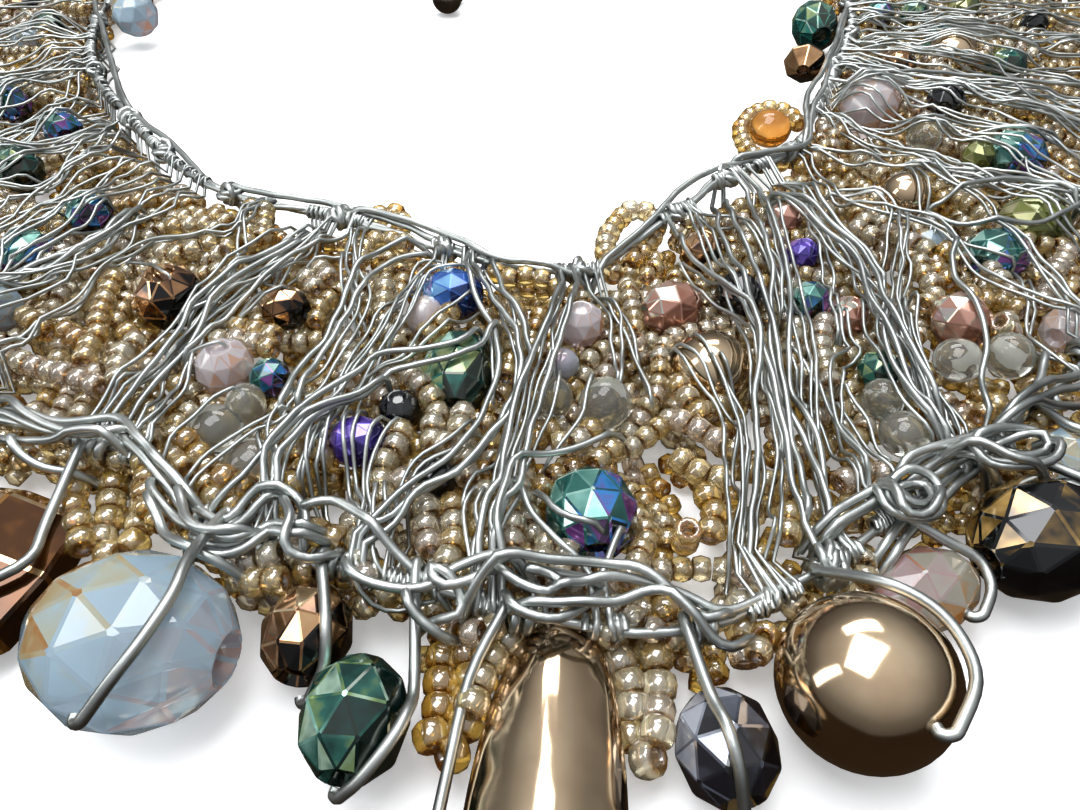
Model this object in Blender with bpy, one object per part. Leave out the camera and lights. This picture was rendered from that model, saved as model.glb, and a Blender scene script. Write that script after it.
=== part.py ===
"""Bib necklace: a flat wire collar, laced over a mat of seed bead strings, with glass beads and drops.

The collar lies on a surface at Z = 0, its front towards -Y. Places on it are given as an angle round
the neck, from the front, and a share of the band, from the neckline wire (0) to the outer wire (1).
"""

import math

import bmesh
import bpy
from mathutils import Matrix, Vector

MM = 0.001

# Collar
NECK_RADIUS = 67 * MM
BAND_WIDTH = 45 * MM
RAIL_HEIGHT = 6.2 * MM
CROWN_HEIGHT = 9.2 * MM
RAIL_WIRE = 1.3 * MM
LACE_WIRE = 1.0 * MM
DROP_WIRE = 1.1 * MM
KNOT_WIDTH = 3.0 * MM
END_EYE_RADIUS = 2.4 * MM
CLEARANCE = 0.3 * MM

# Mat of seed bead strings
MAT_THICKNESS = 5.8 * MM
SEED_BEAD = 2.2 * MM
LOOP_LENGTH = 12 * MM
LOOP_LEGS = 2.5 * MM

# Glass beads, across
SMALL_BEAD = 5.4 * MM
MEDIUM_BEAD = 6.6 * MM
LARGE_BEAD = 8.6 * MM
OPAL_OVAL = 15.6 * MM
BLACK_OVAL = 12.0 * MM
BIG_BALL = 13.4 * MM
LONG_DROP = 21 * MM
BAROQUE_DROP = 21 * MM

# Closing at the back
LINK_LENGTH = 8.4 * MM
LINK_WIDTH = 5.6 * MM
LINK_WIRE = 1.1 * MM
CLASP_LENGTH = 13 * MM
CLASP_WIDTH = 7.5 * MM
CLASP_WIRE = 1.8 * MM
TAIL_BALL = 6.0 * MM
BACK_LINKS = 3
TAIL_LINKS = 8

# Where the spare chain lies in the opening, as shares of NECK_RADIUS from the neck's middle.
TAIL_ROUTE = [(0.08, 0.80), (-0.02, 0.55), (-0.22, 0.20), (-0.30, 0.0)]

# Sections round the neck: neckline as a share of NECK_RADIUS, band as a share of BAND_WIDTH,
# heights as a share of RAIL_HEIGHT and MAT_THICKNESS.
SECTIONS = [
    # angle, neckline, band, height
    (-160, 1.18, 0.10, 0.42),
    (-145, 1.19, 0.32, 0.62),
    (-130, 1.18, 0.60, 0.90),
    (-115, 1.16, 0.85, 1.00),
    (-99, 1.12, 0.98, 1.00),
    (-80, 1.05, 1.00, 1.00),
    (-62, 1.00, 0.98, 1.00),
    (-38, 1.02, 0.93, 1.00),
    (-25, 1.00, 0.94, 1.00),
    (-18, 1.03, 1.03, 1.00),
    (-12, 1.07, 1.01, 1.00),
    (0, 1.14, 1.04, 1.00),
    (6, 1.07, 1.08, 1.00),
    (12, 1.01, 1.07, 1.00),
    (21, 0.94, 1.10, 1.00),
    (33, 0.94, 1.01, 1.00),
    (47, 0.88, 1.00, 1.00),
    (62, 0.87, 1.02, 1.00),
    (76, 0.91, 1.04, 1.00),
    (90, 0.97, 1.02, 1.00),
    (105, 1.03, 0.94, 1.00),
    (120, 1.10, 0.80, 1.00),
    (135, 1.15, 0.56, 0.88),
    (147, 1.17, 0.30, 0.62),
    (160, 1.18, 0.10, 0.42),
]
COLUMNS = {"neckline": 1, "band": 2, "height": 3}
EYE_SEAT = 0.75
RAIL_CORNERS = (30, 36)
POCKET_SIDES, GAP_SIDES = 9, 6
WIRE_START, WIRE_STEPS = 24, 4

# Across the band: the mat's outline as shares of the band and of its thickness.
MAT_OUTLINE = [
    # across, thickness
    (0.045, 0.00),
    (0.035, 0.45),
    (0.11, 0.85),
    (0.30, 1.00),
    (0.50, 0.94),
    (0.70, 1.00),
    (0.89, 0.85),
    (0.965, 0.45),
    (0.955, 0.00),
]
MAT_SECTIONS = 42
MAT_END = 3

# Where the lacing that leaves the neckline wire at one angle reaches the outer wire.
LACING_LEAN = [
    # neckline angle, outer angle
    (-158, -158),
    (-100, -92),
    (-64, -50),
    (-39, -29),
    (-25, -19.5),
    (-12, -12),
    (0, -4),
    (12, 1.5),
    (22, 6),
    (33, 13),
    (46, 29),
    (62, 50),
    (76, 68),
    (100, 96),
    (158, 158),
]
LACING_PAIRS = 9
LACING_REACH = 140
LACING_SPREAD = 7.5

NECKLINE_KNOTS = [
    -143, -122, -98, -80, -64, -53, -39, -25, -12.5, 0, 12.5, 22, 33, 46.5, 62, 76, 89, 110, 135,
]
OUTER_KNOTS = [
    -138, -112, -90, -66, -46, -30, -17.5, -9, -5, 0.8, 6.5, 17, 27, 44, 64, 88, 112, 138,
]

# Field beads in the mat. Length runs along the hole; size and length are shares of the named bead.
FIELD_BEADS = [
    # name, form, bead, length, angle, share, hole, colour
    ("dark_teal_cut", "cut", "medium", 0.85, -59.6, 0.39, "along", "teal"),
    ("teal_lustre_cut", "cut", "medium", 0.85, -45.6, 0.55, "out", "teal"),
    ("green_blue_cut", "cut", "small", 0.85, -46.8, 0.34, "out", "teal"),
    ("bronze_rondelle", "cut", "large", 0.80, -32.7, 0.48, "up", "bronze"),
    ("opal_amber_cut", "cut", "small", 0.85, -41.3, 0.74, "out", "opal"),
    ("small_bronze_cut", "cut", "small", 0.90, -23.3, 0.43, "along", "bronze"),
    ("opal_copper_rondelle", "cut", "medium", 0.85, -24.2, 0.68, "up", "opal"),
    ("violet_cut", "cut", "small", 0.85, -14.3, 0.72, "along", "violet"),
    ("cobalt_cut", "cut", "medium", 0.90, -10.9, 0.17, "along", "violet"),
    ("green_barrel_cut", "cut", "large", 1.10, -9.6, 0.42, "out", "teal"),
    ("pink_opal_cut", "cut", "small", 0.85, -1.2, 0.22, "up", "opal"),
    ("grey_clear_round", "round", "small", 1.0, -0.8, 0.47, "up", "smoke"),
    ("teal_blue_rondelle", "cut", "large", 0.85, -2.6, 0.75, "up", "teal"),
    ("copper_pink_cut", "cut", "medium", 0.90, 6.2, 0.29, "along", "bronze"),
    ("gold_barrel_round", "round", "large", 1.0, 6.8, 0.47, "along", "rose_gold"),
    ("black_cut", "cut", "small", 0.90, 11.5, 0.36, "out", "black"),
    ("rose_gold_round", "round", "medium", 1.0, 34.8, 0.38, "along", "rose_gold"),
    ("neck_opal_oval", "cut", "large", 1.10, 54.1, 0.16, "out", "opal"),
    ("large_rose_gold_round", "round", "large", 1.0, 72.7, 0.38, "along", "rose_gold"),
    ("side_black_cut", "cut", "small", 1.0, 56.4, 0.39, "along", "black"),
    ("teal_oval_cut", "cut", "large", 0.80, 49.1, 0.64, "out", "teal"),
    ("olive_cut", "cut", "large", 0.80, 39.0, 0.74, "out", "teal"),
    ("teal_blue_oval_cut", "cut", "medium", 1.10, 32.3, 0.69, "along", "teal"),
    ("copper_pink_oval", "cut", "medium", 0.80, 23.9, 0.75, "out", "bronze"),
    ("past_neckline_opal", "cut", "large", 0.85, -102.0, -0.10, "up", "opal"),
    ("past_neckline_teal", "cut", "large", 1.10, 82.7, -0.10, "along", "teal"),
    ("past_neckline_bicone", "bicone", "medium", 1.10, 62.5, -0.06, "along", "bronze"),
]

# Drops along the outer wire. Beyond is the centre's distance from the outer wire, as a share of
# BAND_WIDTH; heading turns the long way from straight out; tilt leans the holding wire to a side
# and sweep is how far it runs over the bead.
DROPS = [
    # name, form, bead, length, width, height, angle, beyond, heading, tilt, sweep, colour
    ("long_copper_drop", "cut", "long", 1.0, 0.38, 0.33, -28.8, 0.31, 4, 20, 110, "rose_gold"),
    ("opal_oval_drop", "cut", "opal", 1.0, 0.83, 0.83, -19.0, 0.23, 90, -16, 168, "opal"),
    ("bronze_rondelle_drop", "cut", "large", 0.8, 0.9, 0.9, -14.2, 0.11, 0, 20, 110, "bronze"),
    ("teal_round_drop", "cut", "large", 0.9, 1.04, 1.04, -11.3, 0.21, 0, 42, 170, "teal"),
    ("baroque_drop", "baroque", "baroque", 1.0, 0.43, 0.42, -5.3, 0.27, -8, -40, 165, "rose_gold"),
    ("grey_black_drop", "cut", "large", 0.92, 0.92, 0.92, 0.1, 0.18, 0, 0, 170, "black"),
    ("big_rose_gold_ball", "round", "ball", 1.0, 1.0, 1.0, 4.8, 0.18, 0, 60, 172, "rose_gold"),
    ("opal_orange_drop", "cut", "large", 1.05, 0.86, 0.86, 9.8, 0.12, 90, 40, 165, "opal"),
    ("black_oval_drop", "cut", "black", 1.0, 0.9, 0.9, 15.0, 0.19, 90, 46, 165, "black"),
    ("amber_opal_drop", "cut", "medium", 0.9, 1.0, 1.0, 21.0, 0.10, 0, 20, 150, "opal"),
    ("left_teal_drop", "cut", "large", 0.9, 1.0, 1.0, -37.0, 0.13, 0, 20, 160, "teal"),
    ("left_gold_drop", "round", "large", 1.0, 1.0, 1.0, -50.0, 0.13, 0, 30, 160, "rose_gold"),
    ("left_opal_drop", "cut", "medium", 0.9, 1.0, 1.0, -64.0, 0.11, 0, 0, 160, "opal"),
    ("right_bronze_drop", "cut", "large", 0.9, 1.0, 1.0, 31.0, 0.13, 0, -20, 160, "bronze"),
    ("right_teal_drop", "cut", "large", 0.9, 1.0, 1.0, 45.0, 0.13, 0, -30, 160, "teal"),
    ("right_black_drop", "cut", "medium", 0.9, 1.0, 1.0, 60.0, 0.11, 0, 0, 160, "black"),
]

# Loops of seed beads: past the outer wire (+) or the neckline wire (-), as a share of LOOP_LENGTH.
SEED_LOOPS = [
    # name, angle, reach
    ("seed_loop_far_left", -24.9, 0.55),
    ("seed_loop_left", -8.5, 1.05),
    ("seed_loop_front", -1.9, 1.12),
    ("seed_loop_left_neck", -21.0, -0.45),
    ("seed_loop_front_neck", 6.6, -0.60),
    ("seed_loop_right_neck", 37.5, -0.75),
]

# Gaps right through the mat, at the light patches between strings.
MAT_GAPS = [
    # angle, share, width as a share of SEED_BEAD
    (-104, 0.6, 2.4),
    (-76, 0.55, 2.2),
    (-29.2, 0.24, 1.8),
    (-19.3, 0.34, 1.6),
    (-5.0, 0.10, 1.6),
    (7.7, 0.62, 1.8),
    (10.0, 0.66, 2.0),
    (-15.2, 0.84, 1.8),
    (27.1, 0.88, 1.8),
    (76, 0.7, 2.2),
    (100, 0.5, 2.4),
    (120, 0.5, 2.2),
]

# Colour, roughness, metallic and transmission of each finish.
FINISHES = {
    "wire": ((0.56, 0.57, 0.58), 0.38, 1.0, 0.0),
    "seed": ((0.62, 0.48, 0.26), 0.18, 0.0, 0.3),
    "teal": ((0.03, 0.22, 0.21), 0.08, 0.3, 0.2),
    "bronze": ((0.32, 0.16, 0.08), 0.12, 0.8, 0.0),
    "opal": ((0.80, 0.78, 0.76), 0.10, 0.0, 0.4),
    "violet": ((0.10, 0.05, 0.32), 0.10, 0.4, 0.0),
    "rose_gold": ((0.62, 0.38, 0.26), 0.08, 1.0, 0.0),
    "black": ((0.01, 0.01, 0.015), 0.05, 0.0, 0.0),
    "smoke": ((0.35, 0.36, 0.34), 0.06, 0.0, 0.7),
    "steel": ((0.62, 0.62, 0.62), 0.22, 1.0, 0.0),
}

# Corners of each form about its hole, as shares of its length and width.
CUT_ROWS = [(-0.5, 0.24, 0), (-0.30, 0.44, 1), (0, 0.5, 0), (0.30, 0.44, 1), (0.5, 0.24, 0)]
BICONE_ROWS = [(-0.5, 0.16, 0), (0, 0.5, 0), (0.5, 0.16, 0)]
BAROQUE_ROWS = [
    (-0.50, 0.12, 0),
    (-0.44, 0.27, 1),
    (-0.25, 0.38, 0),
    (0.02, 0.46, 1),
    (0.28, 0.50, 0),
    (0.43, 0.38, 1),
    (0.50, 0.16, 0),
]
FORM_ROWS = {
    "cut": CUT_ROWS,
    "bicone": BICONE_ROWS,
    "baroque": BAROQUE_ROWS,
    "round": [(0, 0.5, 0), (0.5, 0, 0)],
}

BEAD_SIZES = {
    "small": SMALL_BEAD,
    "medium": MEDIUM_BEAD,
    "large": LARGE_BEAD,
    "opal": OPAL_OVAL,
    "black": BLACK_OVAL,
    "ball": BIG_BALL,
    "long": LONG_DROP,
    "baroque": BAROQUE_DROP,
}


def clear_scene():
    for old in list(bpy.data.objects):
        bpy.data.objects.remove(old, do_unlink=True)


def section(angle, name):
    """A column of SECTIONS at an angle, on a smooth curve through its rows."""
    rows = SECTIONS
    column = COLUMNS[name]
    angle = max(rows[0][0], min(rows[-1][0], angle))
    k = max(i for i in range(len(rows) - 1) if rows[i][0] <= angle)
    before, a, b, after = rows[max(k - 1, 0)], rows[k], rows[k + 1], rows[min(k + 2, len(rows) - 1)]
    span = b[0] - a[0]
    t = (angle - a[0]) / span
    slope_a = (b[column] - before[column]) / (b[0] - before[0]) * span
    slope_b = (after[column] - a[column]) / (after[0] - a[0]) * span
    return (
        (2 * t**3 - 3 * t**2 + 1) * a[column]
        + (t**3 - 2 * t**2 + t) * slope_a
        + (3 * t**2 - 2 * t**3) * b[column]
        + (t**3 - t**2) * slope_b
    )


def lacing_end(angle):
    for (a, outer_a), (b, outer_b) in zip(LACING_LEAN, LACING_LEAN[1:]):
        if angle <= b:
            return outer_a + (outer_b - outer_a) * (angle - a) / (b - a)
    return angle


def neckline(angle):
    return NECK_RADIUS * section(angle, "neckline")


def band(angle):
    return BAND_WIDTH * section(angle, "band")


def outward(angle):
    a = math.radians(angle)
    return Vector((math.sin(a), -math.cos(a), 0))


def on_band(angle, share, height=0.0, beyond=0.0):
    """A point at an angle and a share of the band, and a distance further out."""
    place = outward(angle) * (neckline(angle) + share * band(angle) + beyond)
    place.z = height
    return place


def rail_height(angle):
    return RAIL_HEIGHT * section(angle, "height")


def angle_of(place):
    return math.degrees(math.atan2(place.x, -place.y))


class Bead:
    """A bead's place and size: reach is its radius in plan, half its height."""

    def __init__(self, name, form, length, width, height, place, heading, colour, side):
        self.name = name
        self.form = form
        self.length = length
        self.width = width
        self.height = height
        self.place = place
        self.heading = heading
        self.colour = colour
        self.side = side
        self.fixed = False
        self.long_way = 0.0

    @property
    def upright(self):
        return self.heading is None

    @property
    def reach(self):
        if self.upright or self.form not in FORM_ROWS:
            return self.width / 2
        corners = [math.hypot(h * self.length, r * self.width) for h, r, _ in FORM_ROWS[self.form]]
        return max(corners)

    @property
    def bulge(self):
        """How far the form's corners stand out of the ellipsoid of its length and width."""
        return max(math.hypot(2 * h, 2 * r) for h, r, _ in FORM_ROWS[self.form])

    @property
    def half_height(self):
        return (self.length if self.upright else self.height) / 2


def plan_beads():
    beads = []
    for name, form, bead, length, angle, share, hole, colour in FIELD_BEADS:
        size = BEAD_SIZES[bead]
        heading = {"up": None, "out": angle, "along": angle + 90}[hole]
        side = "neck" if share < 0 else "field"
        beads.append(
            Bead(name, form, size * length, size, size, on_band(angle, share), heading, colour, side)
        )
    for name, form, bead, length, width, height, angle, beyond, heading, tilt, sweep, colour in DROPS:
        size = BEAD_SIZES[bead]
        place = on_band(angle, 1, 0, beyond * BAND_WIDTH)
        drop = Bead(
            name, form, size * length, size * width, size * height, place, angle + heading, colour, "drop"
        )
        drop.tilt, drop.sweep = tilt, sweep
        beads.append(drop)
    return beads


def plan_gaps():
    gaps = []
    for angle, share, width in MAT_GAPS:
        size = SEED_BEAD * width
        gaps.append(Bead("gap", "gap", size, size, size, on_band(angle, share), None, "", "gap"))
    return gaps


def mat_reach():
    """The angle where the mat stops, short of the band's end."""
    return end_angle() - MAT_END


def mat_edge(angle, share):
    """The mat's edge at an angle, on the straight run between two of its sections."""
    along = (angle / mat_reach() + 1) / 2 * MAT_SECTIONS
    k = max(0, min(MAT_SECTIONS - 1, math.floor(along)))
    a, b = (on_band(mat_reach() * (2 * i / MAT_SECTIONS - 1), share) for i in (k, k + 1))
    return a.lerp(b, along - k)


def loop_route(angle, reach):
    """A U of seed beads that leaves the mat's edge and lies on the table."""
    outer = reach > 0
    sign = 1 if outer else -1
    shares = [share for share, _ in MAT_OUTLINE]
    share = max(shares) if outer else min(shares)
    out = outward(angle)
    side = Vector((-out.y, out.x, 0))
    up = Vector((0, 0, SEED_BEAD / 2))
    half = LOOP_LEGS / 2
    rail_distance = on_band(angle, 1 if outer else 0).length
    straight = rail_distance + LOOP_LENGTH * reach - sign * half
    legs = []
    for leg in (half, -half):
        beside = [leg + k * SEED_BEAD / 2 for k in (-1, 0, 1)]
        edges = [mat_edge(angle + math.degrees(b / rail_distance), share).dot(out) for b in beside]
        start = (max(edges) if outer else min(edges)) + sign * CLEARANCE
        legs.append([up + side * leg + out * s for s in (start, (start + straight) / 2)])
    bend = []
    for k in range(5):
        turn = math.pi * k / 4
        bend.append(
            up + out * (straight + sign * half * math.sin(turn)) + side * half * math.cos(turn)
        )
    return legs[0] + bend + legs[1][::-1]


def plan_loops():
    """Round stand-ins that keep the beads off the seed loops."""
    stands = []
    for _, angle, reach in SEED_LOOPS:
        route = loop_route(angle, reach)
        width = LOOP_LEGS + SEED_BEAD
        for a, b in zip(route[:3], route[::-1][:3]):
            stand = Bead("loop", "loop", width, width, width, (a + b) / 2, None, "", "loop")
            stand.fixed = True
            stands.append(stand)
        tip = Bead("loop", "loop", width, width, width, route[4], None, "", "loop")
        tip.fixed = True
        stands.append(tip)
    return stands


def stations(bead):
    """Discs that cover a bead in plan: one, or three along a long drop."""
    if bead.upright or bead.length < 1.5 * bead.width:
        return [(Vector((0, 0, 0)), bead.reach)]
    way = outward(bead.heading) * (bead.length - bead.width) / 2
    return [(way * k, bead.width / 2 * bead.bulge) for k in (-1, 0, 1)]


def hold_side(bead):
    """Moves a bead clear of the wires it lies between or hangs from."""
    angle = angle_of(bead.place)
    out = outward(angle)
    room = RAIL_WIRE / 2 + 2 * CLEARANCE
    for offset, radius in stations(bead):
        spot = bead.place + offset
        here = angle_of(spot)
        inner = neckline(here)
        outer = inner + band(here)
        distance = Vector((spot.x, spot.y)).length
        if bead.side in ("field", "gap"):
            low, high = inner + radius + room, outer - radius - room
        elif bead.side == "drop":
            low, high = outer + radius + room, math.inf
        else:
            low, high = 0, inner - radius - room
        if distance < low:
            bead.place += out * (low - distance)
        if distance > high:
            bead.place -= out * (distance - high)


def wire_room(a, b):
    """Extra room where a drop's holding wire runs between it and its neighbour."""
    room = 0
    for drop, other in ((a, b), (b, a)):
        if drop.side == "drop":
            side = Vector((0, 0, 1)).cross(outward(angle_of(drop.place)))
            if (other.place - drop.place).dot(side) * drop.tilt > 0:
                lean = math.sin(math.radians(abs(drop.tilt)))
                margin = DROP_WIRE / 2 + CLEARANCE
                room = max(room, lean * (drop.width / 2 + margin) + margin - drop.width / 2)
    return room


def settle(beads):
    """Moves the beads apart in plan until none touches another, a loop or a wire."""
    for _ in range(240):
        moved = False
        for i, a in enumerate(beads):
            for b in beads[i + 1 :]:
                if a.fixed and b.fixed:
                    continue
                inside = {a.side, b.side} <= {"field", "gap"}
                gap = 0.7 * SEED_BEAD if inside else 1.2 * CLEARANCE + wire_room(a, b)
                if (a.place - b.place).length > a.reach + b.reach + gap:
                    continue
                for off_a, radius_a in stations(a):
                    for off_b, radius_b in stations(b):
                        apart = (a.place + off_a) - (b.place + off_b)
                        short = radius_a + radius_b + gap - apart.length
                        if short <= 0:
                            continue
                        push = apart.normalized() * (short + 0.01 * MM)
                        share = 0.5
                        if a.fixed or b.fixed:
                            share = 1.0
                        if not a.fixed:
                            a.place += push * share
                        if not b.fixed:
                            b.place -= push * share
                        moved = True
        for bead in beads:
            if not bead.fixed:
                hold_side(bead)
        if not moved:
            break


def set_heights(beads):
    for bead in beads:
        if bead.side == "drop":
            bead.place.z = bead.half_height
        elif bead.side in ("field", "neck"):
            bead.place.z = max(CROWN_HEIGHT - bead.half_height, bead.half_height + CLEARANCE)


def finish(name):
    """The Principled material of one finish, made once."""
    if name in bpy.data.materials:
        return bpy.data.materials[name]
    colour, roughness, metallic, transmission = FINISHES[name]
    material = bpy.data.materials.new(name)
    material.use_nodes = True
    shader = material.node_tree.nodes["Principled BSDF"]
    shader.inputs["Base Color"].default_value = (*colour, 1)
    shader.inputs["Roughness"].default_value = roughness
    shader.inputs["Metallic"].default_value = metallic
    shader.inputs["Transmission Weight"].default_value = transmission
    return material


def add_part(name, mesh, colour, collection):
    part = bpy.data.objects.new(name, mesh)
    mesh.materials.clear()
    mesh.materials.append(finish(colour))
    collection.objects.link(part)
    return part


def new_mesh(name, bm):
    bmesh.ops.recalc_face_normals(bm, faces=bm.faces)
    mesh = bpy.data.meshes.new(name)
    bm.to_mesh(mesh)
    bm.free()
    return mesh


def hull(corners):
    bm = bmesh.new()
    for corner in corners:
        bm.verts.new(corner)
    done = bmesh.ops.convex_hull(bm, input=bm.verts)
    bmesh.ops.delete(bm, geom=done["geom_interior"], context="VERTS")
    return bm


def rings(rows, sides):
    """Corners on rings about Z: each row is a height, a radius and a turn in half sides."""
    for height, radius, turn in rows:
        for k in range(sides):
            a = 2 * math.pi * (k + turn / 2) / sides
            yield Vector((radius * math.cos(a), radius * math.sin(a), height))


CUT_SIDES, ROUND_SIDES, ROUND_ROWS = 8, 10, 7


def bead_mesh(bead):
    """A bead about its own centre with its hole along Z, 1 across before it is scaled."""
    if bead.form == "round":
        bm = bmesh.new()
        bmesh.ops.create_uvsphere(bm, u_segments=ROUND_SIDES, v_segments=ROUND_ROWS, radius=0.5)
    else:
        bm = hull(rings(FORM_ROWS[bead.form], CUT_SIDES))
    bmesh.ops.scale(bm, vec=(bead.height, bead.width, bead.length), verts=bm.verts)
    mesh = new_mesh(bead.name, bm)
    if bead.form in ("round", "baroque"):
        mesh.shade_smooth()
    return mesh


def add_bead(bead, collection):
    part = add_part(bead.name, bead_mesh(bead), bead.colour, collection)
    part.location = bead.place
    if not bead.upright:
        along = outward(bead.heading)
        across = Vector((0, 0, 1)).cross(along)
        part.rotation_euler = Matrix((Vector((0, 0, 1)), across, along)).transposed().to_euler()
    return part


def wire(name, points, thickness, closed=False, resolution=1):
    """A round wire through points, as a closed mesh with its caps welded."""
    curve = bpy.data.curves.new(name, "CURVE")
    curve.dimensions = "3D"
    curve.bevel_depth = thickness / 2
    curve.bevel_resolution = resolution
    curve.use_fill_caps = True
    spline = curve.splines.new("POLY")
    spline.points.add(len(points) - 1)
    for point, place in zip(spline.points, points):
        point.co = (*place, 1)
    spline.use_cyclic_u = closed
    return curve_to_part(name, curve)


def curve_to_part(name, curve):
    holder = bpy.data.objects.new(name, curve)
    bpy.context.scene.collection.objects.link(holder)
    bpy.context.view_layer.update()
    evaluated = holder.evaluated_get(bpy.context.evaluated_depsgraph_get())
    mesh = bpy.data.meshes.new_from_object(evaluated)
    bm = bmesh.new()
    bm.from_mesh(mesh)
    bmesh.ops.remove_doubles(bm, verts=bm.verts, dist=0.01 * MM)
    bmesh.ops.recalc_face_normals(bm, faces=bm.faces)
    bm.to_mesh(mesh)
    bm.free()
    piece = bpy.data.objects.new(name, mesh)
    piece.matrix_world = holder.matrix_world
    bpy.context.scene.collection.objects.link(piece)
    bpy.data.objects.remove(holder, do_unlink=True)
    bpy.data.curves.remove(curve)
    return piece


def solid(name, bm):
    piece = bpy.data.objects.new(name, new_mesh(name, bm))
    bpy.context.scene.collection.objects.link(piece)
    return piece


def combine(name, base, others, operation):
    """The base joined with, or cut by, all the others, as one mesh; the pieces used are removed."""
    group = bpy.data.collections.new(name + "_pieces")
    bpy.context.scene.collection.children.link(group)
    for piece in others:
        bpy.context.scene.collection.objects.unlink(piece)
        group.objects.link(piece)
    step = base.modifiers.new(operation.lower(), "BOOLEAN")
    step.operation = operation
    step.solver = "EXACT"
    step.operand_type = "COLLECTION"
    step.collection = group
    bpy.context.view_layer.update()
    evaluated = base.evaluated_get(bpy.context.evaluated_depsgraph_get())
    mesh = bpy.data.meshes.new_from_object(evaluated)
    mesh.name = name
    for piece in [base] + list(others):
        bpy.data.objects.remove(piece, do_unlink=True)
    bpy.data.collections.remove(group)
    return mesh


def mat_solid():
    """The mat: its outline across the band carried round the neck, with low waves on top."""
    bm = bmesh.new()
    loops = []
    for k in range(MAT_SECTIONS + 1):
        angle = mat_reach() * (2 * k / MAT_SECTIONS - 1)
        loop = []
        for i, (share, thickness) in enumerate(MAT_OUTLINE):
            wave = 1 + 0.07 * math.sin(1.9 * k + 2.3 * i)
            height = MAT_THICKNESS * section(angle, "height") * thickness * wave
            loop.append(bm.verts.new(on_band(angle, share, height)))
        loops.append(loop)
    count = len(MAT_OUTLINE)
    for a, b in zip(loops, loops[1:]):
        for i in range(count):
            j = (i + 1) % count
            bm.faces.new((a[i], a[j], b[j], b[i]))
    bm.faces.new(loops[0])
    bm.faces.new(loops[-1])
    return solid("mat", bm)


def pocket(bead, sides):
    """An upright prism round a bead or gap, cut right through the mat."""
    bm = bmesh.new()
    radius = (bead.reach + CLEARANCE) / math.cos(math.pi / sides)
    depth = 4 * MAT_THICKNESS
    bmesh.ops.create_cone(
        bm,
        cap_ends=True,
        segments=sides,
        radius1=radius,
        radius2=radius,
        depth=depth,
        matrix=Matrix.Translation((bead.place.x, bead.place.y, MAT_THICKNESS / 2))
        @ Matrix.Rotation(math.radians(angle_of(bead.place) + 7), 4, "Z"),
    )
    return solid("pocket", bm)


def headroom(x, y, radius, beads):
    """The lowest height at which a wire clears every bead near a point in plan."""
    need = 0.0
    margin = radius + CLEARANCE
    for bead in beads:
        reach = bead.reach + margin
        distance = math.hypot(x - bead.place.x, y - bead.place.y)
        if distance < reach:
            rise = (bead.half_height * bead.bulge + margin) * math.sqrt(1 - (distance / reach) ** 2)
            need = max(need, bead.place.z + rise)
    return need


def drape(start, end, beads, segments=4, samples=6):
    """A wire's route from rail to rail that clears the mat and every bead under it."""
    radius = LACE_WIRE / 2
    over_mat = 1.08 * MAT_THICKNESS + radius + CLEARANCE
    spots = [start.lerp(end, i / segments) for i in range(segments + 1)]
    needs = []
    for i in range(segments):
        need = over_mat if 0 < i < segments - 1 else 0
        for k in range(samples + 1):
            spot = spots[i].lerp(spots[i + 1], k / samples)
            need = max(need, headroom(spot.x, spot.y, radius, beads))
        needs.append(need)
    for i in range(1, segments):
        spots[i].z = max(needs[i - 1], needs[i], start.z)
    route = [spots[0]]
    step = (end - start).normalized() * RAIL_WIRE * 0.6
    if needs[0] > start.z:
        riser = start + step
        riser.z = needs[0]
        route.append(riser)
    route += spots[1:-1]
    if needs[-1] > end.z:
        riser = end - step
        riser.z = needs[-1]
        route.append(riser)
    route.append(spots[-1])
    return route


def rail(share):
    """Corners of the neckline wire (0) or the outer wire (1)."""
    points = []
    count = RAIL_CORNERS[share]
    for k in range(count + 1):
        angle = end_angle() * (2 * k / count - 1)
        points.append(on_band(angle, share, rail_height(angle)))
    return points


def rail_spot(angle, share):
    """The point of an edge wire at an angle, on the straight run between two of its corners."""
    corners = rail(share)
    along = (angle / end_angle() + 1) / 2 * RAIL_CORNERS[share]
    k = max(0, min(RAIL_CORNERS[share] - 1, math.floor(along)))
    return corners[k].lerp(corners[k + 1], along - k)


def knot(angle, share):
    bm = bmesh.new()
    bmesh.ops.create_icosphere(bm, subdivisions=1, radius=KNOT_WIDTH / 2)
    bmesh.ops.scale(bm, vec=(1, 1, 0.72), verts=bm.verts)
    bmesh.ops.translate(bm, vec=rail_spot(angle, share), verts=bm.verts)
    return solid("knot", bm)


def drop_wire(drop):
    """A thick wire from the outer wire over a drop to its far end."""
    angle = angle_of(drop.place)
    out = outward(angle)
    side = Vector((0, 0, 1)).cross(out)
    lean = math.radians(drop.tilt)
    over = Vector((0, 0, 1)) * math.cos(lean) + side * math.sin(lean)
    margin = DROP_WIRE / 2 + CLEARANCE
    turn = math.radians(drop.heading - angle)
    length, width = drop.length * drop.bulge / 2, drop.width * drop.bulge / 2
    half_out = math.hypot(length * math.cos(turn), width * math.sin(turn)) + margin
    half_side = math.hypot(length * math.sin(turn), width * math.cos(turn)) + margin
    half_up = drop.half_height * drop.bulge + margin
    route = [rail_spot(angle, 1)]
    swing_step = math.radians(drop.sweep - WIRE_START) / WIRE_STEPS
    round_off = 1 / math.cos(swing_step / 2)
    for k in range(WIRE_STEPS + 1):
        swing = math.radians(WIRE_START) + swing_step * k
        way = (over * math.sin(swing) - out * math.cos(swing)) * round_off
        route.append(
            drop.place
            + out * way.dot(out) * half_out
            + side * way.dot(side) * half_side
            + Vector((0, 0, way.z * half_up))
        )
    return wire("drop_wire", route, DROP_WIRE)


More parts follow.
